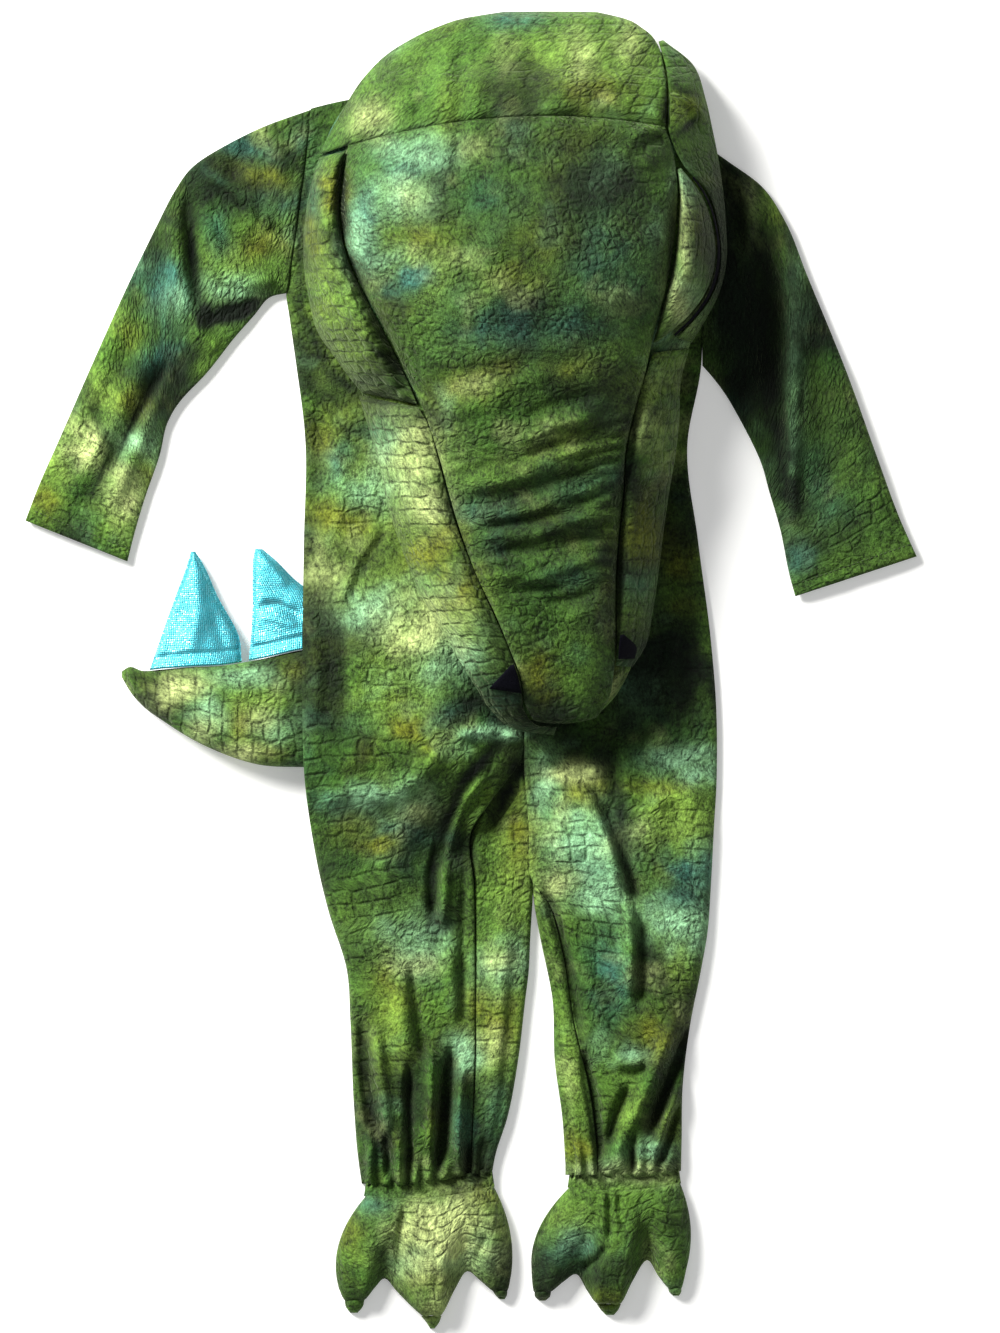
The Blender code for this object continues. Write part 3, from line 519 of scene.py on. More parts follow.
HOOD_FOLDS = table(
    LINE,
    (-88, 364, -92, 326, -88, 294, 5.5, -11),
    (-89, 300, -72, 258, -36, 180, 5.5, -11),
    (146, 348, 143, 300, 137, 262, 4, -7),
    (138, 266, 131, 240, 124, 214, 4, -5),
    (-76, 192, -56, 189, -36, 184, 4, -6),
    (-40, 190, -6, 88, 34, -12, 4.6, -4.5),
    (126, 222, 106, 124, 101.8, 10, 3.5, -5),
    (-104, 360, -20, 383, 40, 388, 5, -2.2),
    (40, 388, 96, 388, 134, 380, 5, -2.6),
    (-9, 440, -7, 395, -12, 340, 5, -4.5),
    (-1, 436, 3, 400, 1, 366, 8, 3.2),
    (-22, 430, -20, 400, -24, 372, 9, 2.8),
    (-72, 402, -64, 384, -60, 370, 5, -3.4),
    (-58, 420, -48, 404, -44, 388, 8, 2.6),
    (-40, 400, -38, 390, -36, 376, 4, -3),
    (44, 430, 40, 406, 46, 390, 7, -3.4),
    (66, 440, 64, 416, 68, 396, 9, 2.6),
    (92, 432, 86, 410, 90, 392, 7, -3),
    (112, 436, 108, 414, 112, 392, 6, 3),
    (110, 372, 122, 379, 134, 380, 3.5, 3.5),
    (112, 360, 124, 368, 136, 374, 3, -3),
    (118, 350, 128, 358, 138, 362, 4, 2.4),
    (128, 400, 131, 392, 134, 384, 4, 3),
    (-56, 352, -48, 330, -52, 300, 12, 2.2),
    (-20, 258, 30, 264, 92, 252, 9, 1.8),
    (-30, 236, 20, 240, 84, 232, 7, -1.6),
    (-24, 208, 26, 212, 100, 218, 7, -2),
    (88, 340, 100, 310, 96, 270, 12, 2),
    (-107, 344, -105, 306, -98, 262, 9, 4),
    (-112, 262, -100, 250, -84, 248, 5, -4),
    (-104, 240, -90, 228, -72, 224, 5, -3.5),
    (-114, 330, -106, 328, -96, 332, 4, -3),
    (-98, 290, -84, 256, -62, 216, 8, 2.5),
    (-112, 300, -104, 296, -94, 298, 5, -1.8),
    (160, 318, 157, 292, 150, 266, 6, 2.5),
    (150, 312, 152, 290, 148, 268, 3, -2),
    (-62, 168, -50, 120, -30, 64, 8, 2),
    (-48, 150, -36, 152, -26, 148, 5, -1.6),
    (120, 200, 132, 196, 142, 200, 4, -2.5),
    (114, 170, 126, 164, 140, 168, 5, 2.4),
    (110, 132, 122, 128, 136, 134, 4, -2),
    (150, 400, 154, 384, 166, 372, 4, -3.5),
    (148, 420, 156, 398, 164, 384, 6, 3),
)
HOOD_UNDER = panel(
    (18, 452.5, 92, 452),
    (-24, 443, 119, 441),
    (-50, 430, 138, 428),
    (-74, 410, 155, 408),
    (-94, 384, 164, 386),
    (-105, 356, 169, 356),
    (-112, 325, 174, 325),
    (-114, 295, 175, 295),
    (-110, 260, 168, 260),
    (-101, 235, 155, 235),
    (-83, 210, 146, 210),
    (-74, 190, 142, 190),
    (-66, 165, 141, 165),
    (-60, 132, 136, 132),
    (-51, 100, 131, 100),
    (-34, 60, 125, 60),
    (-14, 25, 119, 25),
    (0, 0, 110, 0),
    (15, -22, 97, -22),
    (34, -35, 84, -34),
)

# Feet: the toe edge of each cover from one side to the other, crest is 1 along a toe
TOES_LEFT = table(
    "x y crest",
    (-92.5, -433, 0.7),
    (-88.5, -441, 1),
    (-81.5, -441.2, 1),
    (-74.5, -441, 1),
    (-67, -432, 0.4),
    (-60, -426, 0),
    (-51, -436, 0.3),
    (-35, -451.3, 1),
    (-28, -451.6, 1),
    (-20.5, -451.3, 1),
    (-11, -433, 0.3),
    (-3, -421, 0),
    (6, -427, 0.4),
    (15, -434.5, 1),
    (20.5, -434.6, 1),
    (25.5, -434.5, 0.8),
    (28, -424, 0.6),
)
TOES_RIGHT = table(
    "x y crest",
    (43, -424, 0.6),
    (44, -435.2, 0.8),
    (50, -435.4, 1),
    (56, -435.2, 1),
    (65, -428, 0.4),
    (74, -423, 0),
    (81, -434, 0.3),
    (88, -443.3, 1),
    (96.5, -443.6, 1),
    (105, -443.3, 1),
    (113, -428, 0.3),
    (123, -413, 0),
    (131, -424, 0.4),
    (138, -432.5, 1),
    (143, -432.6, 1),
    (147.5, -432.5, 0.8),
    (150.5, -420, 0.6),
)
ANKLE_LEFT = (-73, -367.5, 15.5, -360.8, -5)
ANKLE_RIGHT = (69.5, -361.5, 146, -358.5, -4)
FOOT_FOLDS = table(
    LINE,
    (-46, -372, -50, -396, -51, -424, 2.6, -5),
    (-4, -374, 11, -396, 1, -418, 3, -5),
    (-62, -372, -66, -390, -64, -402, 4, -2.5),
    (-30, -372, -30, -386, -28, -398, 3, -2.5),
    (-17, -372, -16, -384, -14, -396, 3, -2),
    (-72, -372, -78, -384, -80, -398, 3.5, 2.5),
    (8, -368, 14, -378, 17, -392, 3.5, 2.5),
    (96, -366, 97, -384, 96, -402, 2.4, -5.5),
    (96, -402, 90, -412, 76, -421, 3, -6),
    (103, -366, 104, -380, 108, -394, 2.4, -4),
    (78, -366, 74, -380, 66, -392, 4, -2.5),
    (88, -366, 88, -378, 84, -390, 3, -2),
    (116, -366, 120, -384, 126, -410, 4, -3),
    (132, -366, 136, -378, 139, -392, 4, 2.5),
)

# Claw caps: the seam across the toe, the middle and the tip
CLAWS = table(
    "root_left root_right root_y middle_left middle_right middle_y tip_left tip_right tip_y",
    (-88.5, -74.5, -442.2, -87.5, -76, -446, -84.5, -79.5, -450),
    (-35, -20.5, -453.4, -31, -22.5, -457, -28.5, -25.5, -461),
    (15, 25.5, -435.8, 17.5, 25, -438, 20, 23.5, -440.5),
    (44.5, 56, -436.6, 45, 55, -439, 48, 52, -441.5),
    (88, 105, -445.2, 91, 103, -448, 94.5, 100, -451.5),
    (138, 147.3, -434, 139, 147, -435.7, 141.5, 145.5, -438),
)
CLAW_NAMES = ("left_1", "left_2", "left_3", "right_1", "right_2", "right_3")

# Tail: dorsal and lower edge at each section from the tip to its root under the body
TAIL = table(
    "x top bottom thick",
    (-244.5, -1, -5, 6),
    (-240, 2, -13, 12),
    (-230, -0.5, -25, 18),
    (-215, 0.5, -36, 25),
    (-196, 2, -48, 31),
    (-175, 3, -58, 34),
    (-150, 7, -66, 35),
    (-118, 14, -68, 34),
    (-70, 18, -66, 31),
    (-25, 14, -58, 26),
    (0, 4, -48, 20),
)
SPIKE_OUTER = panel(
    (-225, 1.6, -160.5, 6.4),
    (-217, 24, -162.5, 24),
    (-207.5, 50, -177, 51),
    (-199, 73, -187.5, 74),
    (-196, 83, -193, 83),
)
SPIKE_INNER = panel(
    (-155.5, 8, -97, 18.5),
    (-154, 24, -98, 34),
    (-153, 44, -106, 50),
    (-153, 64, -124, 64),
    (-152.5, 78, -137.5, 77.5),
    (-151, 85, -146, 84.6),
)
SPIKE_FOLDS = table(
    LINE,
    (-194, 80, -190, 44, -196, 8, 6, 2.4),
    (-204, 46, -208, 26, -212, 8, 4, -1.2),
    (-182, 44, -176, 26, -172, 10, 4, -1.4),
    (-151, 44, -134, 46, -116, 36, 3, -2.2),
    (-151, 38, -136, 36, -120, 30, 3, 1.8),
    (-150, 52, -136, 50, -122, 44, 3, 1.4),
    (-148, 78, -138, 70, -128, 58, 3.5, 1.6),
    (-152, 30, -140, 24, -126, 24, 4, -1.2),
)

# Dye: patches by their middle, half width, half height, turn in degrees and strength
PATCH = "x y wide tall turn strength"
# Forest patches: the dye's dark blotches, and painted shade in creases, hollows and gaps between pieces, and
# painted shadow along the edges of pieces that lie on others
FOREST_AND_SHADE = table(
    PATCH,
    (250, 180, 60, 130, 22, 0.42), (-150, 330, 40, 40, 0, 0.35), (-208, 250, 12, 40, 0, 0.3),
    (137.6, 392, 2, 15, 0, 1.4), (152, 381, 12, 3, 40, 1.2), (150, 405, 10, 2.4, -20, 1.0),
    (160, 350, 12, 26, 0, 0.3), (66, 322, 74, 84, 0, 0.6), (80, 250, 50, 50, 0, 0.45),
    (-90, 330, 3.4, 34, 0, 1.1), (-82, 280, 3, 24, 24, 0.9), (-52, 212, 3.4, 30, 50, 1.0),
    (-60, 188, 22, 3, -6, 0.8), (140, 300, 2.6, 46, -2, 0.9), (-116, 300, 10, 70, 0, 0.5),
    (-8, 300, 60, 60, 0, 0.34), (52, 280, 84, 100, 0, 0.42), (40, 60, 60, 70, 0, 0.3),
    (-100, 392, 14, 12, 0, 0.6), (-22, 345, 22, 18, 0, 0.5), (-20, 320, 18, 16, 20, 0.6),
    (30, 340, 45, 18, 0, 0.45), (100, 368, 36, 14, 0, 0.6), (-55, 245, 16, 22, 30, 0.5),
    (112, 330, 24, 44, 0, 0.35), (-36, 214, 12, 22, 20, 0.5), (-24, 177, 26, 10, -8, 0.75),
    (45, 215, 60, 60, 0, 0.4), (50, 120, 56, 74, 10, 0.55), (96, 90, 10, 60, 0, 0.3),
    (0, 130, 14, 22, 0, 0.35), (66, -30, 26, 9, 0, 0.5), (-92, 300, 5, 26, -8, 0.5),
    (-60, 204, 22, 10, -30, 0.4), (150, 405, 16, 26, 30, 0.4), (141, 300, 5, 46, 4, 0.45),
    (112, 130, 9, 32, 0, 0.8), (105, 62, 5, 34, 0, 0.7), (132, 60, 8, 60, -6, 0.3),
    (-100, -4, 11, 32, 0, 0.75), (-101, -42, 11, 22, 0, 0.6), (-112, 24, 6, 34, 0, 0.5),
    (0, -26, 22, 9, 20, 0.9), (-38, -66, 30, 9, -20, 0.4), (-96, -136, 24, 24, 0, 0.5),
    (-52, -152, 36, 22, 0, 0.5), (136, 8, 36, 48, 0, 1.1), (108, -34, 16, 30, 0, 0.85),
    (152, 56, 16, 44, 0, 0.6), (126, -40, 26, 22, 0, 0.5), (104, -104, 7, 34, 12, 0.85),
    (94, -56, 12, 12, 0, 0.6), (-86, -192, 18, 24, 0, 0.5), (-20, -322, 4.4, 42, -6, 0.7),
    (-10, -142, 12, 40, 0, 0.3), (-43, -316, 4, 34, 0, 0.45), (-8, -332, 8, 14, 0, 0.4),
    (11, -346, 5, 9, 0, 0.5), (-27, -146, 3.8, 32, -2, 0.95), (-15, -100, 4.4, 24, -26, 1.0),
    (4, -68, 4, 18, -44, 1.4), (23, -90, 5, 16, -24, 1.4), (31, -70, 6, 7, 0, 1.2),
    (-24, -104, 12, 26, -24, 0.5), (-72, -290, 5, 34, 10, 0.5), (-59, -342, 3, 14, 0, 0.4),
    (12, -104, 14, 8, 10, 0.6), (68, -200, 4, 34, 16, 0.6), (77, -258, 4, 24, 10, 0.55),
    (106, -130, 4, 36, 22, 0.8), (120, -200, 5, 40, -2, 0.4), (88, -322, 4.4, 28, 8, 0.7),
    (136, -296, 4.4, 40, -26, 0.65), (140, -326, 4, 20, -20, 0.5), (113, -342, 3, 10, 0, 0.4),
    (98, -322, 4, 20, -14, 0.6), (152, -262, 6, 30, -12, 0.6), (8, -424, 12, 8, 0, 0.5),
    (-60, -410, 8, 14, 0, 0.35), (-82, -440, 8, 8, 0, 0.35), (96, -430, 20, 14, 0, 0.4),
    (130, -396, 16, 20, 0, 0.3), (60, -390, 16, 24, 0, 0.25), (-120, 388, 26, 12, -20, 0.6),
    (-152, 340, 36, 26, -30, 0.4), (-196, 320, 14, 40, 26, 0.45), (-165, 345, 20, 10, -30, 0.45),
    (-150, 320, 22, 8, -30, 0.5), (-195, 292, 4.5, 34, 4, 1.0), (-187, 246, 7, 10, 0, 1.5),
    (-166, 251, 24, 6, 18, 1.6), (-198, 214, 14, 6, 50, 0.9), (-242, 166, 3.4, 50, -30, 0.9),
    (-184, 330, 12, 10, 0, 0.4), (-119, 290, 4, 44, 0, 0.9), (-112, 236, 4, 26, 25, 1.0),
    (-93, 204, 4, 22, 50, 0.9), (-258, 168, 5, 34, 22, 0.7), (-284, 104, 12, 6, -20, 0.3),
    (-206, 306, 10, 16, 0, 0.3), (192, 244, 26, 100, 14, 1.3), (214, 150, 18, 66, 14, 1.1),
    (188, 322, 14, 24, 0, 0.9), (268, 170, 34, 70, 24, 0.62), (262, 96, 38, 24, 20, 0.6),
    (250, 240, 22, 50, 20, 0.6), (222, 300, 16, 26, 20, 0.5), (174, 380, 20, 14, 0, 0.5),
    (-226, -20, 14, 7, 30, 0.5), (-236, -4, 8, 6, 0, 0.6), (-120, 8, 12, 8, 0, 0.5),
)
LIME = table(
    PATCH,
    (147, 393, 8, 9, 0, 1.1), (20, 428, 120, 44, 0, 0.12), (70, 432, 40, 16, 0, 0.3),
    (118, 424, 12, 26, 0, 0.5), (-15, 392, 10, 26, 0, 0.4), (-25, 282, 24, 18, 0, 0.45),
    (-104, 270, 16, 40, 10, 0.4), (-88, 226, 20, 20, 30, 0.35), (150, 276, 10, 26, 10, 0.6),
    (62, 150, 34, 8, 16, 0.3), (6, 24, 14, 22, 30, 0.5), (128, 200, 18, 18, 0, 0.4),
    (118, 36, 8, 20, 0, 0.5), (-75, 152, 26, 16, 0, 0.3), (-82, 98, 24, 20, 0, 0.4),
    (-52, -14, 34, 22, 0, 0.4), (-60, 62, 40, 24, 0, 0.35), (140, -106, 28, 20, 0, 0.5),
    (26, -130, 14, 34, 0, 0.5), (-56, -240, 12, 30, 0, 0.4), (-60, -266, 14, 20, 0, 0.35),
    (20, -256, 14, 40, 0, 0.45), (150, -206, 10, 16, 0, 0.5), (70, -276, 8, 44, 8, 0.4),
    (106, -310, 12, 16, 0, 0.4), (66, -384, 12, 12, 0, 0.35), (140, -320, 8, 14, 0, 0.5),
    (-172, 290, 14, 9, 0, 0.5), (-260, 196, 10, 12, 0, 0.5), (-290, 140, 14, 14, 0, 0.45),
    (-250, 104, 12, 12, 0, 0.4), (-150, -26, 22, 14, 0, 0.4), (216, 332, 12, 12, 0, 0.3),
    (-84, 180, 12, 14, 0, 0.3), (36, -160, 12, 20, 0, 0.35),
)
TEAL = table(
    PATCH,
    (-46, 356, 18, 10, 0, 0.7), (-77, 314, 9, 22, 0, 0.8), (-44, 273, 15, 8, 20, 0.95),
    (92, 292, 22, 20, 0, 0.5), (104, 270, 24, 22, 0, 0.35), (72, 240, 26, 18, 20, 0.5),
    (18, 238, 30, 16, 0, 0.5), (-111, 326, 6, 26, -6, 0.55), (155, 292, 6, 12, 0, 0.6),
    (8, 112, 26, 10, 6, 0.5), (78, 128, 22, 8, 16, 0.35), (-60, 160, 9, 14, 0, 0.6),
    (120, 58, 9, 13, 0, 0.4), (-94, 148, 12, 11, 0, 0.6), (-60, 164, 14, 8, 0, 0.6),
    (-14, -30, 15, 7, 20, 0.65), (-101, -92, 12, 9, 0, 0.5), (-52, -116, 20, 14, 0, 0.7),
    (112, -6, 12, 14, 0, 0.5), (128, -62, 14, 8, 0, 0.4), (84, -140, 22, 16, 30, 0.65),
    (96, -215, 12, 30, 0, 0.5), (160, -140, 18, 12, 0, 0.85), (150, -162, 18, 8, 0, 0.6),
    (-36, -206, 12, 10, 0, 0.5), (-8, -320, 10, 14, 0, 0.4), (20, -306, 10, 18, 0, 0.35),
    (104, -350, 26, 6, 0, 0.6), (5, -396, 8, 8, 0, 0.5), (-70, -376, 12, 7, 0, 0.5),
    (73, -404, 14, 12, 0, 0.6), (-156, 364, 15, 8, -20, 0.75), (-130, 326, 14, 9, 0, 0.6),
    (-176, 304, 8, 12, 0, 0.5), (-214, 264, 14, 17, 0, 0.9), (-216, 222, 14, 8, 40, 0.6),
    (-232, 276, 10, 12, 0, 0.35), (242, 130, 10, 22, 0, 0.4), (226, 80, 10, 9, 0, 0.6),
    (250, 112, 14, 12, 0, 0.3), (-116, 374, 8, 8, 0, 0.4), (30, 455, 20, 6, 0, 0.6),
    (10, 330, 22, 12, 0, 0.3), (-8, 262, 14, 12, 0, 0.3), (70, 66, 18, 8, 10, 0.25),
)
MINT = table(
    PATCH,
    (-38, 362, 20, 10, 0, 0.75), (-50, 332, 18, 13, 0, 0.6), (-80, 300, 9, 18, 0, 0.55),
    (-64, 286, 16, 9, 0, 0.4), (148, 338, 6, 12, 0, 0.8), (150, 262, 8, 14, 20, 0.6),
    (-60, 152, 8, 12, 0, 0.5), (-70, 130, 20, 12, 0, 0.5), (-70, 40, 20, 13, 0, 0.65),
    (-14, 10, 20, 15, 30, 0.6), (12, -44, 18, 4, 0, 0.8), (-70, -92, 18, 9, 10, 0.7),
    (-46, -92, 14, 11, 0, 0.6), (116, -10, 13, 18, 0, 0.35), (150, -62, 22, 8, 0, 0.8),
    (160, -72, 14, 7, 0, 0.8), (52, -82, 9, 20, 0, 0.6), (80, -120, 20, 18, 0, 0.85),
    (96, -156, 16, 12, 0, 0.75), (74, -104, 12, 10, 0, 0.6), (145, -176, 22, 13, 0, 0.85),
    (158, -188, 9, 12, 0, 0.6), (-40, -186, 20, 15, 0, 0.5), (25, -206, 12, 13, 0, 0.6),
    (-4, -268, 9, 10, 0, 0.7), (113, -270, 10, 5, 0, 0.4), (124, -336, 15, 6, 0, 0.5),
    (-12, -408, 18, 9, 0, 0.8), (-42, -412, 12, 10, 0, 0.5), (71, -402, 8, 7, 0, 0.5),
    (-170, 265, 18, 9, 0, 0.55), (-206, 258, 9, 9, 0, 0.5), (-236, 158, 14, 12, 0, 0.55),
    (-184, -30, 10, 12, 0, 0.65), (-160, -5, 20, 6, 0, 0.55), (-136, -42, 12, 10, 0, 0.4),
    # The first of these is a painted highlight along the ridge of the right sleeve
    (226, 200, 6, 90, -2, 0.45), (-58, 440, 12, 7, 30, 0.4), (8, -206, 8, 10, 0, 0.4),
)
GOLD = table(
    PATCH,
    (86, 404, 18, 12, 0, 0.7), (-30, 306, 20, 11, 0, 0.55), (30, 276, 16, 9, 0, 0.5),
    (74, 216, 20, 11, 0, 0.4), (4, 204, 26, 11, 16, 0.6), (-96, 334, 9, 14, 0, 0.95),
    (-112, 304, 6, 14, 0, 0.8), (152, 395, 10, 8, 0, 0.5), (163, 306, 7, 15, 0, 0.8),
    (46, 0, 12, 12, 0, 0.75), (-22, 88, 20, 13, 30, 0.85), (-4, 60, 14, 20, 30, 0.7),
    (120, 96, 12, 18, 0, 0.8), (-105, 160, 9, 14, 0, 0.6), (-92, 106, 18, 8, -20, 0.95),
    (-46, -38, 14, 11, 0, 0.85), (-26, -50, 12, 10, 0, 0.5), (-80, -110, 14, 9, 0, 0.6),
    (-66, -122, 16, 7, 0, 0.85), (150, 76, 12, 12, 0, 0.65), (150, 44, 10, 8, 0, 0.4),
    (130, -82, 22, 7, 0, 0.5), (76, -86, 13, 12, 0, 0.8), (34, -112, 9, 26, 0, 0.75),
    (-56, -216, 11, 24, 0, 0.5), (12, -238, 18, 20, 0, 0.75), (126, -256, 12, 13, 0, 0.65),
    (75, -336, 13, 9, 0, 0.75), (-86, -394, 9, 13, 0, 0.45), (-30, -426, 14, 8, 0, 0.5),
    (12, -370, 12, 7, 0, 0.5), (95, -440, 12, 6, 0, 0.5), (-146, 345, 20, 7, -25, 0.65),
    (-146, 298, 14, 8, 0, 0.85), (-236, 234, 11, 9, 0, 0.4), (-236, 184, 11, 10, 0, 0.65),
    (-225, 140, 6, 20, 20, 0.5), (-300, 116, 10, 10, 0, 0.65), (-163, -38, 7, 10, 0, 0.8),
    (-142, -56, 12, 6, 0, 0.6), (-126, 0, 8, 8, 0, 0.5), (108, -150, 8, 8, 0, 0.5),
    (-22, -318, 6, 12, 0, 0.4), (60, 160, 20, 7, 16, 0.3), (50, 300, 24, 14, 0, 0.3),
)
CREAM = table(
    PATCH,
    (-72, 384, 11, 9, 0, 0.6), (78, 428, 9, 16, 0, 0.3), (4, 366, 10, 8, 0, 0.25),
    (2, 200, 14, 6, 16, 0.35), (144, 258, 8, 14, 20, 0.7), (150, 300, 4, 30, 0, 0.5),
    (146, 328, 4, 14, 0, 0.5), (-36, 150, 18, 24, 0, 0.6), (-30, 118, 16, 16, 0, 0.45),
    (-36, 30, 22, 14, 20, 0.75), (-104, 70, 12, 18, 0, 0.35), (70, -72, 14, 6, 0, 0.8),
    (-36, -100, 11, 8, 0, 0.5), (60, -150, 11, 12, 0, 0.5), (12, -262, 10, 10, 0, 0.45),
    (20, -204, 8, 8, 0, 0.45), (-20, -398, 24, 24, 0, 0.95), (-20, -398, 18, 10, 0, 0.5),
    (-22, -442, 10, 9, 0, 0.5), (112, -352, 32, 6, 0, 0.5), (-40, -206, 14, 8, 0, 0.4),
    (108, -118, 12, 8, 30, 0.4), (-270, 160, 13, 12, 0, 0.85), (-241, 122, 11, 16, 10, 0.6),
    (-206, -14, 16, 8, 20, 0.75), (-160, -58, 14, 6, 0, 0.7), (-186, -42, 12, 8, 30, 0.5),
    (-150, -36, 12, 8, 0, 0.35), (-42, 330, 10, 10, 0, 0.35), (110, 440, 8, 12, 0, 0.35),
    (-6, 22, 8, 10, 0, 0.3),
)


# Sizes and colours that a user may change
def dye_property(name, description, default):
    """A colour of the costume, in linear light."""
    return bpy.props.FloatVectorProperty(
        name=name, description=description, subtype="COLOR", default=default
    )


class CostumeSizes(bpy.types.PropertyGroup):
    wall: bpy.props.FloatProperty(
        name="Cloth", description="Thickness of the plush, in millimetres", default=2.2, min=1, max=3
    )
    pad: bpy.props.FloatProperty(
        name="Brow padding", description="Stuffing in the brow pods, in millimetres", default=11.0
    )
    grid: bpy.props.FloatProperty(
        name="Mesh spacing", description="Distance between points on the cloth, in millimetres",
        default=2.4, min=1.5, max=8,
    )
    scale_size: bpy.props.FloatProperty(
        name="Scales", description="Size of the large embossed scales", default=0.0105,
        unit="LENGTH",
    )
    emboss: bpy.props.FloatProperty(
        name="Emboss", description="Depth of the embossed scales", default=0.0011, unit="LENGTH"
    )


class CostumeColours(bpy.types.PropertyGroup):
    leaf: dye_property("Leaf", "The dye's main green", (0.03, 0.092, 0.011))
    moss: dye_property("Moss", "The main green's lighter clouds", (0.076, 0.158, 0.02))
    # The darkest dye, also used for painted shade
    forest_and_shade: dye_property("Forest", "Darkest dye", (0.003, 0.009, 0.003))
    lime: dye_property("Lime", "Bright yellow-green dye", (0.18, 0.3, 0.045))
    teal: dye_property("Teal", "Blue-green dye", (0.032, 0.12, 0.088))
    mint: dye_property("Mint", "Pale blue-green dye", (0.21, 0.42, 0.22))
    gold: dye_property("Gold", "Olive-yellow dye", (0.122, 0.148, 0.012))
    cream: dye_property("Cream", "Palest dye", (0.45, 0.54, 0.2))
    turquoise: dye_property("Turquoise", "Shiny cloth of the spikes", (0.05, 0.36, 0.44))
    glint: dye_property("Glint", "Metal thread in the spikes' cloth", (0.25, 0.74, 0.84))
    navy: dye_property("Navy", "Nostril cloth", (0.0015, 0.0015, 0.004))
    thread: dye_property("Thread", "Cuff stitches", (0.03, 0.055, 0.012))
    floor: dye_property("Floor", "Pale floor", (0.86, 0.86, 0.85))


def sizes():
    return bpy.context.scene.costume_sizes


def colours():
    return bpy.context.scene.costume_colours


# Curves and fields
def ease(t):
    """A soft step from 0 to 1."""
    t = np.clip(t, 0, 1)
    return t * t * (3 - 2 * t)


def smooth_through(stops, values, at):
    """A smooth curve through values at the stops, read at other stops."""
    stops, values, at = (np.asarray(v, float) for v in (stops, values, at))
    step = np.diff(stops)
    rise = np.diff(values) / step
    inner = (rise[:-1] * step[1:] + rise[1:] * step[:-1]) / (step[1:] + step[:-1])
    slope = np.concatenate([rise[:1], inner, rise[-1:]])
    k = np.clip(np.searchsorted(stops, at, side="right") - 1, 0, len(step) - 1)
    t = np.clip((at - stops[k]) / step[k], 0, 1)
    h = step[k]
    return (
        values[k] * (1 + 2 * t) * (1 - t) ** 2
        + values[k + 1] * t * t * (3 - 2 * t)
        + h * slope[k] * t * (1 - t) ** 2
        + h * slope[k + 1] * t * t * (t - 1)
    )


def column(sheet, name, y, key="y"):
    """A table's column as a smooth function of its key column, which may run downwards."""
    order = np.argsort(sheet[key])
    return smooth_through(sheet[key][order], sheet[name][order], y)


def middle_run(rails):
    """Length along the middle of a panel up to each of its sections."""
    middle_x = (rails["left_x"] + rails["right_x"]) / 2
    middle_y = (rails["left_y"] + rails["right_y"]) / 2
    return np.concatenate([[0], np.cumsum(np.hypot(np.diff(middle_x), np.diff(middle_y)))])


def section_stops(rails):
    """Place of each section along the middle of a panel, from 0 to 1."""
    run = middle_run(rails)
    return run / run[-1]


def panel_grid(rails, along, across):
    """Points in XY between the two edges of a panel, by section and then from left to right."""
    stops = section_stops(rails)
    edge = {name: smooth_through(stops, rails[name], along)[:, None] for name in RAILS.split()}
    s = np.asarray(across)[None, :]
    x = edge["left_x"] * (1 - s) + edge["right_x"] * s
    y = edge["left_y"] * (1 - s) + edge["right_y"] * s + edge["bow"] * 4 * s * (1 - s)
    return x, y


def even(count):
    """Evenly spaced stops from 0 to 1."""
    return np.linspace(0, 1, count)


def rounded(count):
    """Stops that lie closer together near both ends, for a panel with round sides."""
    return 0.5 - 0.5 * np.cos(pi * even(count)) * (0.85 + 0.15 * np.cos(pi * even(count)) ** 2)


def counts(rails):
    """How many rows and columns of points give a panel the chosen mesh spacing."""
    wide = np.hypot(rails["right_x"] - rails["left_x"], rails["right_y"] - rails["left_y"]).max()
    long = middle_run(rails)[-1]
    return tuple(max(FEWEST_POINTS, int(size / sizes().grid) + 1) for size in (long, wide))


def cloud(x, y, size, seed=0.0):
    """Soft noise from -1 to 1 whose lumps are about size across."""
    gx, gy = x / size + 31.7 * seed, y / size - 17.3 * seed
    ix, iy = np.floor(gx), np.floor(gy)
    fx, fy = ease(gx - ix), ease(gy - iy)

    def corner(i, j):
        wave = np.sin((ix + i) * 127.1 + (iy + j) * 311.7 + seed * 74.7) * 43758.5453
        return wave - np.floor(wave)

    low = corner(0, 0) * (1 - fx) + corner(1, 0) * fx
    high = corner(0, 1) * (1 - fx) + corner(1, 1) * fx
    return 2 * (low * (1 - fy) + high * fy) - 1


def clouds(x, y, size, seed=0.0):
    """Noise of four sizes, from size down to an eighth of it."""
    total = 0
    for k in range(4):
        total = total + cloud(x, y, size / 2**k, seed + k) * 0.55**k
    return total / 1.9


def fold_height(folds, x, y):
    """Ridges and troughs along the table's lines, fading out at both ends."""
    total = np.zeros_like(x)
    for x1, y1, x2, y2, x3, y3, width, height in zip(*folds.values()):
        near = np.full_like(x, 1e9)
        fade = np.zeros_like(x)
        for (ax, ay), (bx, by), first in (((x1, y1), (x2, y2), True), ((x2, y2), (x3, y3), False)):
            span = np.hypot(bx - ax, by - ay)
            t = ((x - ax) * (bx - ax) + (y - ay) * (by - ay)) / span**2
            t = np.clip(t, 0, 1)
            away = np.hypot(x - ax - t * (bx - ax), y - ay - t * (by - ay))
            along = t / 2 + (0 if first else 0.5)
            closer = away < near
            fade = np.where(closer, ease(along * 3.4 + 0.12) * ease((1 - along) * 4.5 + 0.12), fade)
            near = np.where(closer, away, near)
        slim = width * (0.55 + 0.45 * fade)
        total += height * fade * np.exp(-((near / slim) ** 2))
    return total


def lift(x, y):
    """How far the back panel is held off the floor by the tail under it."""
    off = y - TAIL_LINE
    across = np.where(off > 0, ease(1 - (off - 34) / 100), ease(1 - (-off - 36) / 70))
    return TAIL_HIGH * across * ease((62 - x) / 92)


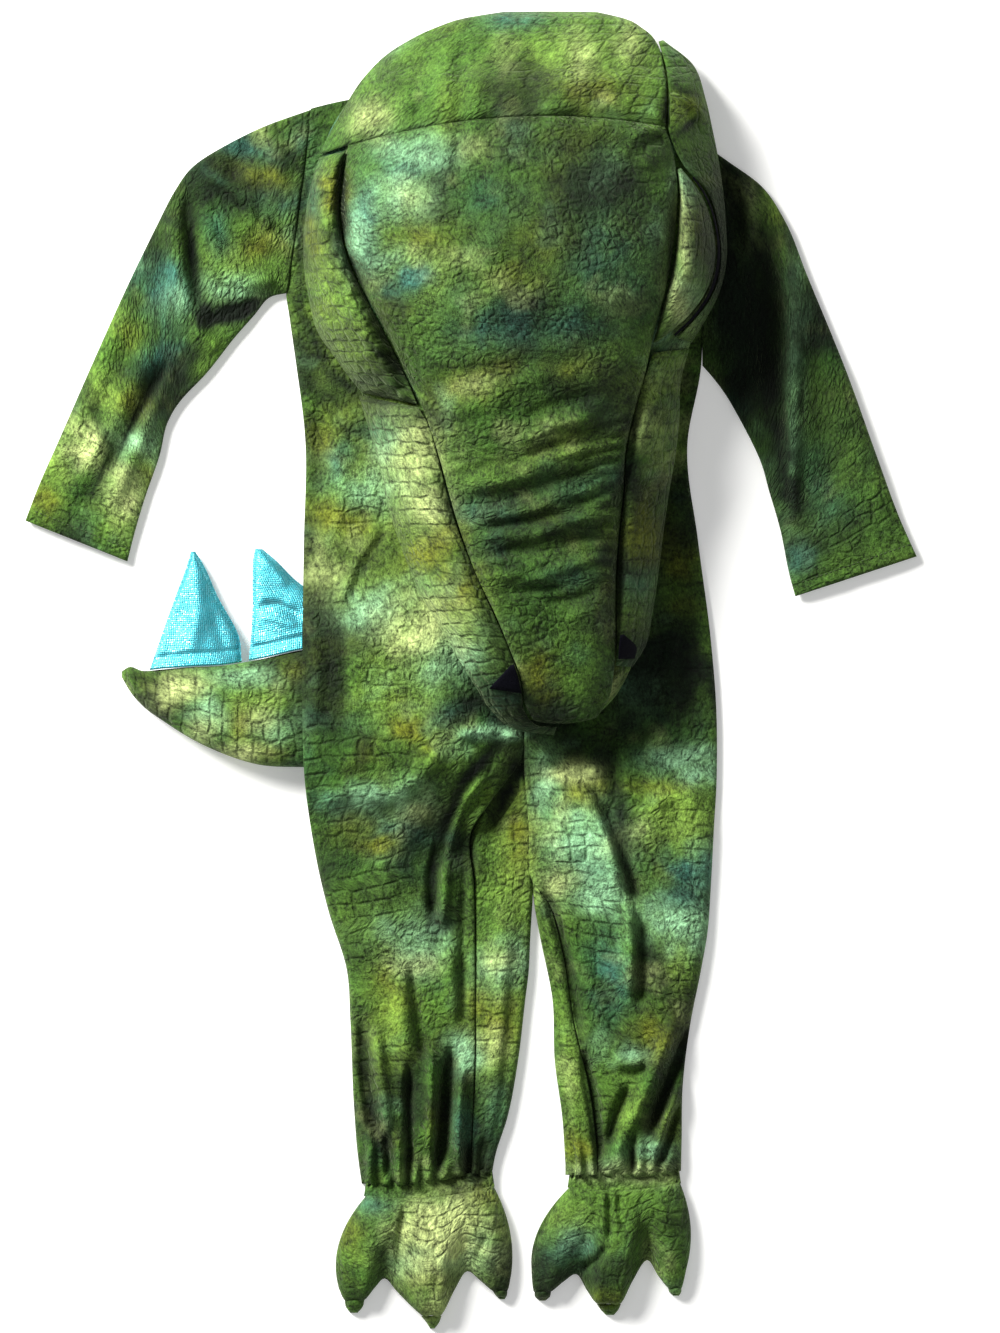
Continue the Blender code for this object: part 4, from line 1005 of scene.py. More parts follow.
def gathers(x, y):
    """Uneven pleats that the elastic at each ankle draws into the leg."""
    near = ease((GATHER_TOP - y) / 46)
    wave = x + 2.2 * cloud(x, y, 16, 5.0) + 0.05 * (y + 350) * np.sign(x - 40)
    tight = 0.4 * near + 2.3 * ease((GATHER_TIGHT - y) / 24)
    return tight * (1 + 0.8 * cloud(x, y, 22, 6.0)) * np.sin(2 * pi * wave / GATHER_PITCH)


def above_zero(rise):
    """A rise that levels off smoothly instead of going below 0."""
    return 0.5 * (rise + np.sqrt(rise**2 + 0.6))


def body_rise(x, y):
    """Height of the front panel's underside over the back panel, away from the side seams."""
    below, beside = (SNOUT_END - y) / 10, (abs(x - 40) - 92) / 20
    clear_of_snout = ease(below) + ease(beside) * ease(-below)
    puff = BODY_PUFF + LEG_PUFF * ease((-70 - y) / 60) + 1.3 * cloud(x, y, 44, 15.0)
    rise = puff + 1.15 * fold_height(FOLDS, x, y) * np.clip(clear_of_snout, 0, 1) + gathers(x, y)
    return above_zero(rise)


def chest(x, y):
    """The level that the hood lies on: the front panel, and the floor beyond the neck."""
    front_top = 2 * sizes().wall + GAP + above_zero(BODY_PUFF) + lift(x, y)
    return front_top * ease((NECK_LINE + 34 - y) / 16)


def head(x, y):
    """Top of the folded layers inside the hood."""
    left = column(HEAD, "left", y)
    right = column(HEAD, "right", y)
    u = np.clip(np.abs((2 * x - left - right) / (right - left)), 0, 1)
    high = column(HEAD, "high", y)
    edge = np.minimum(HOOD_EDGE, high * 0.6)
    crown = (high - edge) * (1 - u**2.6) ** 0.62
    return chest(x, y) + edge + crown + fold_height(HOOD_FOLDS, x, y)


def pillow(s, power=2.4, root=0.5):
    """1 over the middle of a padded piece, falling to 0 at both edges."""
    return np.clip(1 - np.abs(2 * np.asarray(s) - 1) ** power, 0, 1) ** root


def edge_distances(x, y):
    """Distance along the cloth from each point to the panel's left, right, top and bottom edges."""
    step = np.hypot(np.diff(x, axis=1), np.diff(y, axis=1))
    left = np.hstack([np.zeros((len(x), 1)), np.cumsum(step, axis=1)])
    step = np.hypot(np.diff(x, axis=0), np.diff(y, axis=0))
    top = np.vstack([np.zeros((1, x.shape[1])), np.cumsum(step, axis=0)])
    return left, left[:, -1:] - left, top, top[-1:] - top


def roll(away, width, depth):
    """How far cloth turns down within a width of its edge."""
    return depth * (1 - np.sqrt(1 - (1 - np.clip(away / width, 0, 1)) ** 2))


def slack(x, y):
    """How loosely a seam is sewn at each point: tight is above 1."""
    return 0.85 + 0.5 * cloud(x, y, 26, 31.0) + 0.25 * cloud(x, y, 11, 32.0)


def seam_pull(x, y, away, pitch):
    """Puckers that the stitches draw into a seam."""
    wave = np.sin(2 * pi * ((x + y) + 3 * cloud(x, y, 19, 8.0)) / pitch)
    return -0.55 * (1 + wave) * np.exp(-((away / 6) ** 2))


def nap(x, y):
    """Small unevenness of soft plush."""
    return 0.45 * cloud(x, y, 15, 2.0) + 0.3 * cloud(x, y, 8, 3.0) + 0.6 * cloud(x, y, 38, 4.0)


# Dye
def patches(spots, x, y, seed):
    """Strength of one dye from 0 to 1, with watery edges."""
    total = np.zeros_like(x)
    drift_x = 6 * cloud(x, y, 17, seed) + 4 * cloud(x, y, 8, seed + 1)
    drift_y = 6 * cloud(x, y, 17, seed + 2) + 4 * cloud(x, y, 8, seed + 3)
    for px, py, wide, tall, turn, strength in zip(*spots.values()):
        c, s = np.cos(turn * pi / 180), np.sin(turn * pi / 180)
        loose = min(1, (min(wide, tall) / 12) ** 2)
        off_x, off_y = x + drift_x * loose - px, y + drift_y * loose - py
        u = (c * off_x + s * off_y) / wide
        v = (c * off_y - s * off_x) / tall
        total = np.maximum(total, strength * np.exp(-0.75 * (u * u + v * v)))
    return total


def mixed(base, dye, share):
    """The base colours with a share of a dye at each point."""
    share = np.clip(share, 0, 1)[..., None]
    return base * (1 - share) + np.array(dye) * share


def dyed(x, y, charted=1.0, seed=0.0):
    """Colour of the cloth at each point: clouds of green with patches of the other dyes, of painted shade and
    of a painted highlight.

    Where charted is 1 the patches are those of the tables, and below it more of them are loose.
    """
    tone = colours()
    base = mixed(np.array(tone.leaf) + 0 * x[..., None], tone.moss, 0.5 + 0.8 * clouds(x, y, 46, seed))
    base = mixed(base, tone.forest_and_shade, 0.9 * ease(0.2 - 1.7 * clouds(x, y, 52, seed + 9)))
    wash = 1 + 0.5 * clouds(x, y, 14, seed + 13) + 0.3 * cloud(x, y, 5, seed + 19)
    loose = 1.25 - charted
    for dye, spots, own, size in (
        (tone.lime, LIME, 20.0, 60),
        (tone.teal, TEAL, 24.0, 44),
        (tone.gold, GOLD, 28.0, 40),
        (tone.mint, MINT, 32.0, 36),
        (tone.cream, CREAM, 36.0, 34),
    ):
        free = 0.8 * ease(2.6 * clouds(x, y, size, seed + own) - 0.75) * loose
        share = np.maximum(patches(spots, x, y, own) * charted * 1.25, free)
        base = mixed(base, dye, share * wash)
    # Forest patches: dark dye, and painted shade in creases, hollows and along the edges of pieces
    dark = patches(FOREST_AND_SHADE, x, y, 40.0) * charted
    return mixed(base, tone.forest_and_shade, dark * (1 + 0.3 * clouds(x, y, 14, seed + 44)))


# Mesh building
def cell_corners(i, j, after, columns):
    """Corners of the cells at rows i and columns j of a grid, where after is the next column."""
    return np.stack(
        [i * columns + j, i * columns + after, (i + 1) * columns + after, (i + 1) * columns + j], 1
    )


def flat_pattern(points, around):
    """Each point's place in the piece's own flat cloth, in metres."""
    closed = np.concatenate([points, points[:, :1]], axis=1) if around else points
    across = np.linalg.norm(np.diff(closed, axis=1), axis=2)
    u = np.hstack([np.zeros((len(closed), 1)), np.cumsum(across, axis=1)])
    u = u - u[:, -1:] / 2
    middle = closed[:, closed.shape[1] // 2]
    v = np.concatenate([[0], np.cumsum(np.linalg.norm(np.diff(middle, axis=0), axis=1))])
    return np.stack([u, -v[:, None] + 0 * u], -1) * MM


def add_wall(name, outer, inner, material, dye, around=False, keep=None):
    """A closed wall between an outer and an inner sheet of points (rows, columns, 3), in millimetres."""
    rows, columns = outer.shape[:2]
    if keep is None:
        keep = np.ones((rows - 1, columns if around else columns - 1), bool)
    i, j = np.nonzero(keep)
    quads = cell_corners(i, j, (j + 1) % columns, columns)
    uv = cell_corners(i, j, j + 1, columns + 1 if around else columns)
    chart = flat_pattern(outer, around).reshape(-1, 2)

    # The rim's edges are those that no other cell runs back along
    second = rows * columns
    ends = np.roll(quads, -1, axis=1)
    key = quads * (second + 1) + ends
    back = ends * (second + 1) + quads
    rim = ~np.isin(key, back)
    a, b = quads[rim], ends[rim]
    uv_a, uv_b = uv[rim], np.roll(uv, -1, axis=1)[rim]
    edge = np.stack([b, a, second + a, second + b], 1)
    faces = np.concatenate([quads, second + quads[:, ::-1], edge])
    charts = np.concatenate([uv, uv[:, ::-1], np.stack([uv_b, uv_a, uv_a, uv_b], 1)])

    points = np.concatenate([outer.reshape(-1, 3), inner.reshape(-1, 3)]) * MM
    used, faces = np.unique(faces, return_inverse=True)
    faces = faces.reshape(-1, 4)
    points = points[used]
    if swept(points, faces) < 0:
        faces, charts = faces[:, ::-1], charts[:, ::-1]
    paint = np.concatenate([dye.reshape(-1, 3)] * 2)[used]
    return add_mesh(name, points, faces.tolist(), chart[charts.reshape(-1)], material, paint)


def add_rings(name, rings, material, dye):
    """A closed solid through loops of points (rows, loop, 3), in millimetres, with flat ends."""
    rows, loop = rings.shape[:2]
    i, j = np.nonzero(np.ones((rows - 1, loop), bool))
    quads = cell_corners(i, j, (j + 1) % loop, loop)
    uv = cell_corners(i, j, j + 1, loop + 1)
    chart = flat_pattern(rings, True).reshape(-1, 2)
    points = rings.reshape(-1, 3) * MM
    ends = np.stack([np.arange(loop)[::-1], np.arange(loop) + (rows - 1) * loop])
    if swept(points, quads) + swept(points, ends) < 0:
        quads, uv, ends = quads[:, ::-1], uv[:, ::-1], ends[:, ::-1]
    charts = np.concatenate([chart[uv.reshape(-1)], points[ends.reshape(-1)][:, [0, 2]]])
    return add_mesh(name, points, quads.tolist() + ends.tolist(), charts, material, dye.reshape(-1, 3))


def swept(points, faces):
    """Six times the volume between the faces and the origin, above 0 where they face outwards."""
    corner = points[faces]
    area = np.cross(corner, np.roll(corner, -1, axis=1)).sum(axis=1)
    return np.einsum("ij,ij->", corner.mean(axis=1), area)


def add_mesh(name, points, faces, charts, material, paint):
    """A piece with its flat cloth as UVs, one for each corner, and its dye, with any painted light and shade,
    on its points.
    """
    mesh = bpy.data.meshes.new(name)
    mesh.from_pydata(points, [], faces)
    layer = mesh.uv_layers.new(name="cloth")
    layer.data.foreach_set("uv", charts.astype(np.float32).reshape(-1))
    colour = mesh.color_attributes.new("dye", "FLOAT_COLOR", "POINT")
    opaque = np.hstack([paint, np.ones((len(paint), 1))])
    colour.data.foreach_set("color", opaque.astype(np.float32).reshape(-1))
    mesh.materials.append(material)
    mesh.shade_smooth()
    return add_object(name, mesh)


def add_object(name, data):
    """An object for a mesh, a lamp or a camera, linked to the scene."""
    made = bpy.data.objects.new(name, data)
    bpy.context.scene.collection.objects.link(made)
    return made


def painted_light_and_shade(dye, crease):
    """Painted light and shade: the dye made lighter on a ridge as a painted highlight, and darker in a trough
    as painted shade.
    """
    return dye * np.clip(1 + 0.055 * crease, 0.44, 1.4)[..., None]


def add_layer(name, x, y, lower, upper, material, charted=1.0, crease=0.0):
    """A piece between two heights over the same points, dyed, with painted shade in its creases and painted
    highlight on its ridges.
    """
    outer = np.stack([x, y, upper], -1)
    inner = np.stack([x, y, lower], -1)
    return add_wall(name, outer, inner, material, painted_light_and_shade(dyed(x, y, charted), crease + 0 * x))


def stand_for(piece, nodes):
    """Says which nodes of the frame a piece stands for."""
    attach(piece, "root")
    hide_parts(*nodes)


def finish_cloth(piece, nodes):
    """Says what a cloth piece stands for."""
    stand_for(piece, nodes)


def finish_padding(piece, nodes):
    """Says what a padded piece stands for."""
    stand_for(piece, nodes)


# Shader maths
class Flow:
    """A socket in shader maths, where a Python expression adds the nodes."""

    def __init__(self, shader, socket):
        self.shader = shader
        self.socket = socket

    def __add__(self, other):
        return self.shader.maths("ADD", self, other)

    def __sub__(self, other):
        return self.shader.maths("SUBTRACT", self, other)

    def __rsub__(self, other):
        return self.shader.maths("SUBTRACT", other, self)

    def __mul__(self, other):
        return self.shader.maths("MULTIPLY", self, other)

    __radd__ = __add__
    __rmul__ = __mul__


class Shader:
    """A material and the calls that add its nodes."""

    def __init__(self, name):
        self.material = bpy.data.materials.new(name)
        self.material.use_nodes = True
        self.tree = self.material.node_tree
        self.surface = self.tree.nodes["Principled BSDF"]

    def node(self, kind, settings=None, sockets=None):
        """Adds a node: its settings first, then the values or links of its sockets."""
        made = self.tree.nodes.new(kind)
        for name, value in (settings or {}).items():
            setattr(made, name, value)
        self.fill(made, sockets or {})
        return made

    def fill(self, made, sockets):
        for name, value in sockets.items():
            if isinstance(value, Flow):
                self.tree.links.new(value.socket, made.inputs[name])
            else:
                made.inputs[name].default_value = value

    def out(self, made, name):
        return Flow(self, made.outputs[name])

    def maths(self, operation, first, second):
        made = self.node("ShaderNodeMath", {"operation": operation}, {0: first, 1: second})
        return self.out(made, 0)

    def ramp(self, value, low, high):
        """0 below low and 1 above high, with a soft step between."""
        made = self.node(
            "ShaderNodeMapRange",
            {"interpolation_type": "SMOOTHSTEP"},
            {"Value": value, "From Min": low, "From Max": high},
        )
        return self.out(made, "Result")

    def noise(self, place, size, detail=2.0, rough=0.5):
        made = self.node(
            "ShaderNodeTexNoise",
            {},
            {"Vector": place, "Scale": 1 / size, "Detail": detail, "Roughness": rough},
        )
        return self.out(made, 0)

    def cells(self, place, size, feature, randomness, output):
        made = self.node(
            "ShaderNodeTexVoronoi",
            {"feature": feature},
            {"Vector": place, "Scale": 1 / size, "Randomness": randomness},
        )
        return self.out(made, output)

    def stretched(self, place, across, along):
        made = self.node(
            "ShaderNodeVectorMath", {"operation": "MULTIPLY"}, {0: place, 1: (across, along, 1.0)}
        )
        return self.out(made, 0)

    def shaded(self, colour, factor):
        """A colour made lighter or darker by a factor."""
        made = self.node("ShaderNodeVectorMath", {"operation": "SCALE"}, {0: colour, "Scale": factor})
        return self.out(made, 0)

    def blend(self, first, second, share):
        made = self.node("ShaderNodeMix", {"data_type": "RGBA"}, {0: share, 6: first, 7: second})
        return self.out(made, 2)

    def bumped(self, height, distance, strength=1.0):
        made = self.node("ShaderNodeBump", {}, {"Height": height, "Distance": distance, "Strength": strength})
        return self.out(made, "Normal")

    def place(self):
        """The piece's own flat cloth, in metres."""
        return self.out(self.node("ShaderNodeUVMap", {"uv_map": "cloth"}), "UV")


# Share of square scales and how boldly all scales are embossed
PLUSHES = {"dyed_plush": (0.5, 0.03), "pebbled_plush": (-0.6, 0.03), "scaled_plush": (1.8, 0.17)}


def plush_material(name, croc_share, bold):
    """Dyed velour embossed with rounded pebbles and larger square scales under a nap, with painted shade in
    the scales' grooves and painted sheen in soft patches.
    """
    shader = Shader(name)
    place = shader.place()
    dye = shader.out(shader.node("ShaderNodeAttribute", {"attribute_name": "dye"}), "Color")
    wander = shader.node("ShaderNodeTexNoise", {}, {"Vector": place, "Scale": 55.0, "Detail": 1.0})
    pushed = shader.node(
        "ShaderNodeVectorMath",
        {"operation": "MULTIPLY_ADD"},
        {0: shader.out(wander, "Color"), 1: (0.004, 0.004, 0.0), 2: place},
    )
    cloth = shader.out(pushed, 0)
    size = sizes().scale_size
    pebble = shader.cells(cloth, size * 0.6, "DISTANCE_TO_EDGE", 0.9, "Distance")
    square = shader.cells(shader.stretched(cloth, 0.84, 1.06), size, "DISTANCE_TO_EDGE", 0.4, "Distance")
    pebble_top = shader.ramp(pebble, -0.03, 0.3)
    square_top = shader.ramp(square, -0.02, 0.2)
    region = shader.noise(place, 0.085, 1.0)
    croc = shader.ramp(region, 0.53 - 0.1 * croc_share, 0.60 - 0.1 * croc_share)
    scales = pebble_top * (1 - croc) + square_top * croc
    faint = shader.ramp(shader.noise(place, 0.035, 2.0), 0.36 - bold, 0.62 - bold)
    fuzz = shader.noise(shader.stretched(place, 1.0, 0.6), 0.0017, 2.0, 0.8)
    tuft = shader.noise(place, 0.0055, 3.0, 0.7)
    # Soft lighter and darker patches of painted sheen, like the sheen of crushed pile
    painted_light_and_shade = shader.noise(place, 0.021, 3.0, 0.6)
    height = scales * (0.2 + 0.85 * faint) + 0.9 * fuzz + 1.4 * tuft
    groove = (1 - scales) * (0.15 + 0.85 * faint)
    pile = 2.8 * fuzz + 2.1 * tuft + 1.6 * painted_light_and_shade
    # The dye darkened in the scales' grooves as painted shade and slightly lighter on their tops, and varied
    # by the pile's tufts and the patches of painted sheen
    light = (1.07 - 0.3 * groove) * shader.maths("MAXIMUM", pile - 2.33, 0.2)
    shader.fill(
        shader.surface,
        {
            "Base Color": shader.shaded(dye, light),
            "Roughness": 0.82,
            "Specular IOR Level": 0.2,
            "Sheen Weight": 0.14,
            "Sheen Roughness": 0.4,
            "Sheen Tint": (0.62, 0.8, 0.42, 1.0),
            "Normal": shader.bumped(height, sizes().emboss),
        },
    )
    return shader.material


def lame_material():
    """Turquoise cloth woven with metal thread, bright in small glints."""
    shader = Shader("turquoise_lame")
    place = shader.place()
    glint = shader.cells(place, METAL_WEAVE, "F1", 0.3, "Color")
    split = shader.node("ShaderNodeSeparateColor", {}, {0: glint})
    spark = shader.ramp(shader.out(split, 0), 0.5, 1.0)
    soft = shader.noise(place, 0.02, 2.0)
    crush = shader.noise(place, 0.0065, 3.0, 0.6)
    base = shader.shaded(tuple(colours().turquoise), 1.2 * soft + 0.4)
    colour = shader.blend(base, (*colours().glint, 1.0), spark * 0.3 + 0.02)
    weave = shader.cells(place, METAL_WEAVE, "F1", 0.3, "Distance")
    shader.fill(
        shader.surface,
        {
            "Base Color": colour,
            "Roughness": 0.42 - 0.16 * spark,
            "Metallic": 0.7,
            "Normal": shader.bumped((1 - weave) + 0.5 * crush, 0.0004),
        },
    )
    return shader.material


def dark_material():
    """Near-black soft cloth of the nostrils and the eye line."""
    shader = Shader("navy_cloth")
    place = shader.place()
    fuzz = shader.noise(place, 0.0016, 3.0, 0.7)
    shader.fill(
        shader.surface,
        {
            "Base Color": shader.shaded(tuple(colours().navy), 0.6 + 0.9 * fuzz),
            "Roughness": 0.85,
            "Specular IOR Level": 0.08,
            "Normal": shader.bumped(fuzz, 0.0006),
        },
    )
    return shader.material


def thread_material():
    """Twisted green sewing thread."""
    shader = Shader("green_thread")
    place = shader.place()
    twist = shader.noise(place, 0.0006, 1.0)
    shader.fill(
        shader.surface,
        {
            "Base Color": shader.shaded(tuple(colours().thread), 0.7 + 0.7 * twist),
            "Roughness": 0.6,
            "Normal": shader.bumped(twist, 0.0002),
        },
    )
    return shader.material


def floor_material():
    """Matt pale floor with a faint grain, a little bright of its own."""
    shader = Shader("pale_floor")
    where = shader.out(shader.node("ShaderNodeTexCoord"), "Object")
    grain = shader.noise(where, 0.02, 2.0)
    shader.fill(
        shader.surface,
        {
            "Base Color": shader.shaded(tuple(colours().floor), 0.985 + 0.03 * grain),
            "Roughness": 0.9,
            "Specular IOR Level": 0.1,
            "Emission Color": (1.0, 1.0, 1.0, 1.0),
            "Emission Strength": 0.28,
        },
    )
    return shader.material


def once(name, make):
    """A material made the first time it is asked for."""
    return bpy.data.materials.get(name) or make()


def plush(name="dyed_plush"):
    """The dyed cloth, by the name of its embossing."""
    return once(name, lambda: plush_material(name, *PLUSHES[name]))


# The suit
def side_edge(x, outer_column):
    """Rounded rise of a front panel, from 0 at its side seam to 1."""
    off = np.abs(x - x[:, outer_column][:, None]) / SIDE_ROUND
    return np.sqrt(1 - (1 - np.clip(off, 0, 1)) ** 2)


def add_front(name, rails, outer_is_left):
    """Lies over the back and whatever lifts it, and comes down round its side seam."""
    rows, columns = counts(rails)
    x, y = panel_grid(rails, even(rows), even(columns))
    under = lift(x, y)
    armhole = ease((y - (ARMPIT_LEFT if outer_is_left else ARMPIT_RIGHT)) / 26)
    side = np.maximum(side_edge(x, 0 if outer_is_left else -1), 0.85 * armhole)
    rise = np.maximum(body_rise(x, y) * side, 2.0 * ease(under / 2))
    wall = sizes().wall
    left, right, _, bottom = edge_distances(x, y)
    lower = np.maximum(under + wall + GAP + rise - roll(bottom, 8.0, 3.0), under + wall + 0.1)
    inner = right if outer_is_left else left
    turn = roll(inner, 4.0, 1.5) + roll(bottom, 7.0, 1.6)
    worn = nap(x, y) * side + seam_pull(x, y, inner, 9.0) * 0.6
    upper = lower + np.maximum(wall + worn - turn, 0.6)
    # Painted shade in the troughs of the folds and ankle gathers, and painted highlight on their ridges
    crease = 1.15 * fold_height(FOLDS, x, y) + 2.2 * gathers(x, y)
    return add_layer(name, x, y, lower, upper, plush(), crease=crease)


def add_back(name, rails, folds, bend_top, strip_top, outer_is_left):
    """Lies on the floor, and down the leg turns over at its inner fold onto the front."""
    rows, columns = counts(rails)
    columns = columns // 3
    wall = sizes().wall
    x, y = panel_grid(rails, even(rows), (0.0, 1.0))
    outer, seam = (0, 1) if outer_is_left else (1, 0)
    inward = 1 if outer_is_left else -1
    fold_x = column(folds, "fold_x", np.maximum(y[:, seam], folds["y"].min()))
    leg = ease((LEG_TOP - y[:, seam]) / 24)
    meet = x[:, seam] + inward * (0.4 + 1.5 * ease((-35 - y[:, seam]) / 30))
    flat_end = meet * (1 - leg) + (fold_x - inward * LEG_TURN) * leg

    # Flat under the leg, out to where the bend begins
    across = even(columns)[None, :]
    floor_x = x[:, outer, None] * (1 - across) + flat_end[:, None] * across
    floor_y = y[:, outer, None] * (1 - across) + y[:, seam, None] * across
    floor_z = lift(floor_x, floor_y)

    # Half a turn round the fold, and then the strip to the inseam
    turn = np.linspace(0.1, 1.0, 10) * pi
    strip = np.linspace(0.0, 1.0, 20)[1:]
    seam_y = y[:, seam, None]
    reach = np.abs(x[:, seam] - flat_end)[:, None]

    def turned(radius, lift_up):
        """X and Z of the bend and of the strip beyond it, at a radius round the fold."""
        bend_x = flat_end[:, None] + inward * radius * np.sin(turn)
        bend_z = LEG_TURN - radius * np.cos(turn) + 0 * bend_x
        strip_x = flat_end[:, None] * (1 - strip) + (x[:, seam, None] + inward * (GAP + 0.2)) * strip
        strip_z = LEG_TURN + radius + 0 * strip_x
        arch = ease(strip * 3)[None, :] * lift_up * np.ones_like(strip_x)
        strip_y = seam_y + 0 * strip_x
        ripple = fold_height(FOLDS, strip_x, strip_y) * 0.7 + gathers(strip_x, strip_y)
        pull = nap(strip_x, strip_y) * 0.8
        strip_z = strip_z + arch + np.maximum((ripple + pull) * ease(strip * 4)[None, :], -4.5)
        return np.hstack([bend_x, strip_x]), np.hstack([bend_z, strip_z])

    turn_y = np.repeat(seam_y, len(turn) + len(strip), axis=1)
    puff = 3.0 * ease((-120 - seam_y) / 60) * ease(reach / 20)
    outer_x, outer_z = turned(LEG_TURN, puff)
    inner_x, inner_z = turned(LEG_TURN - wall, puff)
    outer_z[:, -1:] -= 0.9
    all_y = np.hstack([floor_y, turn_y])
    under = np.stack([np.hstack([floor_x, outer_x]), all_y, np.hstack([floor_z, outer_z])], -1)
    above = np.stack([np.hstack([floor_x, inner_x]), all_y, np.hstack([floor_z + wall, inner_z])], -1)

    # Above the leg the panel ends at the seam, without a bend or a strip
    keep = np.ones((rows - 1, under.shape[1] - 1), bool)
    keep[y[:-1, seam] > bend_top, columns - 1 :] = False
    keep[y[:-1, seam] > strip_top, columns + len(turn) - 1 :] = False
    dye = dyed(under[..., 0], under[..., 1])
    # Painted shade in the folds' troughs and painted highlight on their ridges
    dye = painted_light_and_shade(dye, 0.8 * fold_height(FOLDS, under[..., 0], under[..., 1]))
    # Painted shade: the flat part, which lies under the front, is darkened
    dye[:, : columns - 1] *= 0.55
    return add_wall(name, under, above, plush(), dye, keep=keep)


def add_tube(name, rails, rows, count, deep, folds, ripple=0.0, waves=0, hem=0.0):
    """A flattened tube between two edges: flat on the floor, round at both sides, open at both ends."""
    wall = sizes().wall
    x, y = panel_grid(rails, even(rows), (0.0, 0.5, 1.0))
    angle = 2 * pi * np.arange(count) / count
    side = np.sign(np.cos(angle)) * np.abs(np.cos(angle)) ** 0.6
    height = np.sign(np.sin(angle)) * np.abs(np.sin(angle)) ** 0.6
    half = np.hypot(x[:, 2] - x[:, 0], y[:, 2] - y[:, 0])[:, None] / 2
    from_end = np.hypot(x[:, 1] - x[-1, 1], y[:, 1] - y[-1, 1])[:, None]
    from_start = np.hypot(x[:, 1] - x[0, 1], y[:, 1] - y[0, 1])[:, None]

    beat = np.cos(waves * angle + 1.6 * np.sin(3 * angle) + 1.1 * np.sin(7 * angle))
    beat = beat * (0.75 + 0.45 * np.sin(5 * angle + 1))

    def ring(inward):
        """Points round the tube, a depth inside its outer side."""
        share = (half - inward) / half * side[None, :]
        s = 0.5 + 0.5 * share
        px = x[:, :1] * (1 - s) + x[:, 2:] * s
        py = y[:, :1] * (1 - s) + y[:, 2:] * s + (y[:, 1:2] - (y[:, :1] + y[:, 2:]) / 2) * 4 * s * (1 - s)
        top = np.clip(height, 0, 1)[None, :]
        pz = deep / 2 + (deep / 2 - inward) * height[None, :]
        if folds is not None:
            pz = pz + np.maximum(1.6 * fold_height(folds, px, py), 0.9 - deep / 2) * top
            pz = pz + nap(px, py) * top
        if waves:
            pz = pz + ripple * beat * top * (0.45 + 0.55 * np.cos(2 * pi * even(rows) / 1.6)[:, None])
        if hem and inward == 0:
            stitched = np.exp(-(((from_end - hem) / 1.3) ** 2))
            fat = 0.5 * ease(1 - from_end / (hem + 2))
            pz = pz + top * (fat - 1.1 * stitched) - roll(from_end, 2.0, 1.0) * top
        if inward == 0:
            pz = pz - roll(from_start, 2.0, 0.7) * top
            pz = np.where(pz < 0.35, 0, pz)
        return np.stack([px, py, pz], -1)

    outer = ring(0.0)
    dye = dyed(outer[..., 0], outer[..., 1])
    if folds is not None:
        # Painted shade in the folds' troughs and painted highlight on their ridges
        dye = painted_light_and_shade(dye, 2 * fold_height(folds, outer[..., 0], outer[..., 1]))
    if waves:
        # Painted shade in the gathers' troughs and painted highlight on their tops
        dye = painted_light_and_shade(dye, 6 * beat[None, :] + 0.5)
    return add_wall(name, outer, ring(wall), plush(), dye, around=True)


def add_suit():
    """Two fronts that meet at the centre, and the backs under them."""
    for name, rails, outer_is_left in (("front_left", FRONT_LEFT, True), ("front_right", FRONT_RIGHT, False)):
        piece = add_front(name + "_cloth", rails, outer_is_left)
        finish_cloth(piece, [name])
    for name, rails, folds, bend_top, strip_top, outer_is_left in (
        ("back_left", FRONT_LEFT, FOLD_LEFT, BEND_LEFT_TOP, STRIP_LEFT_TOP, True),
        ("back_right", FRONT_RIGHT, FOLD_RIGHT, BEND_RIGHT_TOP, STRIP_RIGHT_TOP, False),
    ):
        piece = add_back(name + "_cloth", rails, folds, bend_top, strip_top, outer_is_left)
        finish_cloth(piece, [name])


def add_sleeves():
    for name, rails in (("sleeve_left", SLEEVE_LEFT), ("sleeve_right", SLEEVE_RIGHT)):
        rows = counts(rails)[0]
        shape = name + "_cloth", rails, rows, SLEEVE_ROUND, SLEEVE_DEEP, SLEEVE_FOLDS
        piece = add_tube(*shape, hem=CUFF_HEM)
        finish_cloth(piece, [name])


# Feet
def add_casing(name, ankle):
    """The gathered elastic casing between a leg and its foot cover."""
    left_x, left_y, right_x, right_y, bow = ankle
    sections = []
    for k in (1.0, 0.5, 0.0):
        spread = CASING_SPREAD * (1 - k)
        above = CASING_LONG * k - CASING_TUCK
        sections.append((left_x - spread, left_y + above, right_x + spread - 1, right_y + above, bow))
    shape = name + "_cloth", panel(*sections), *CASING_GRID, CASING_DEEP, None
    piece = add_tube(*shape, ripple=CASING_RIPPLE, waves=CASING_WAVES)
    finish_cloth(piece, [name])


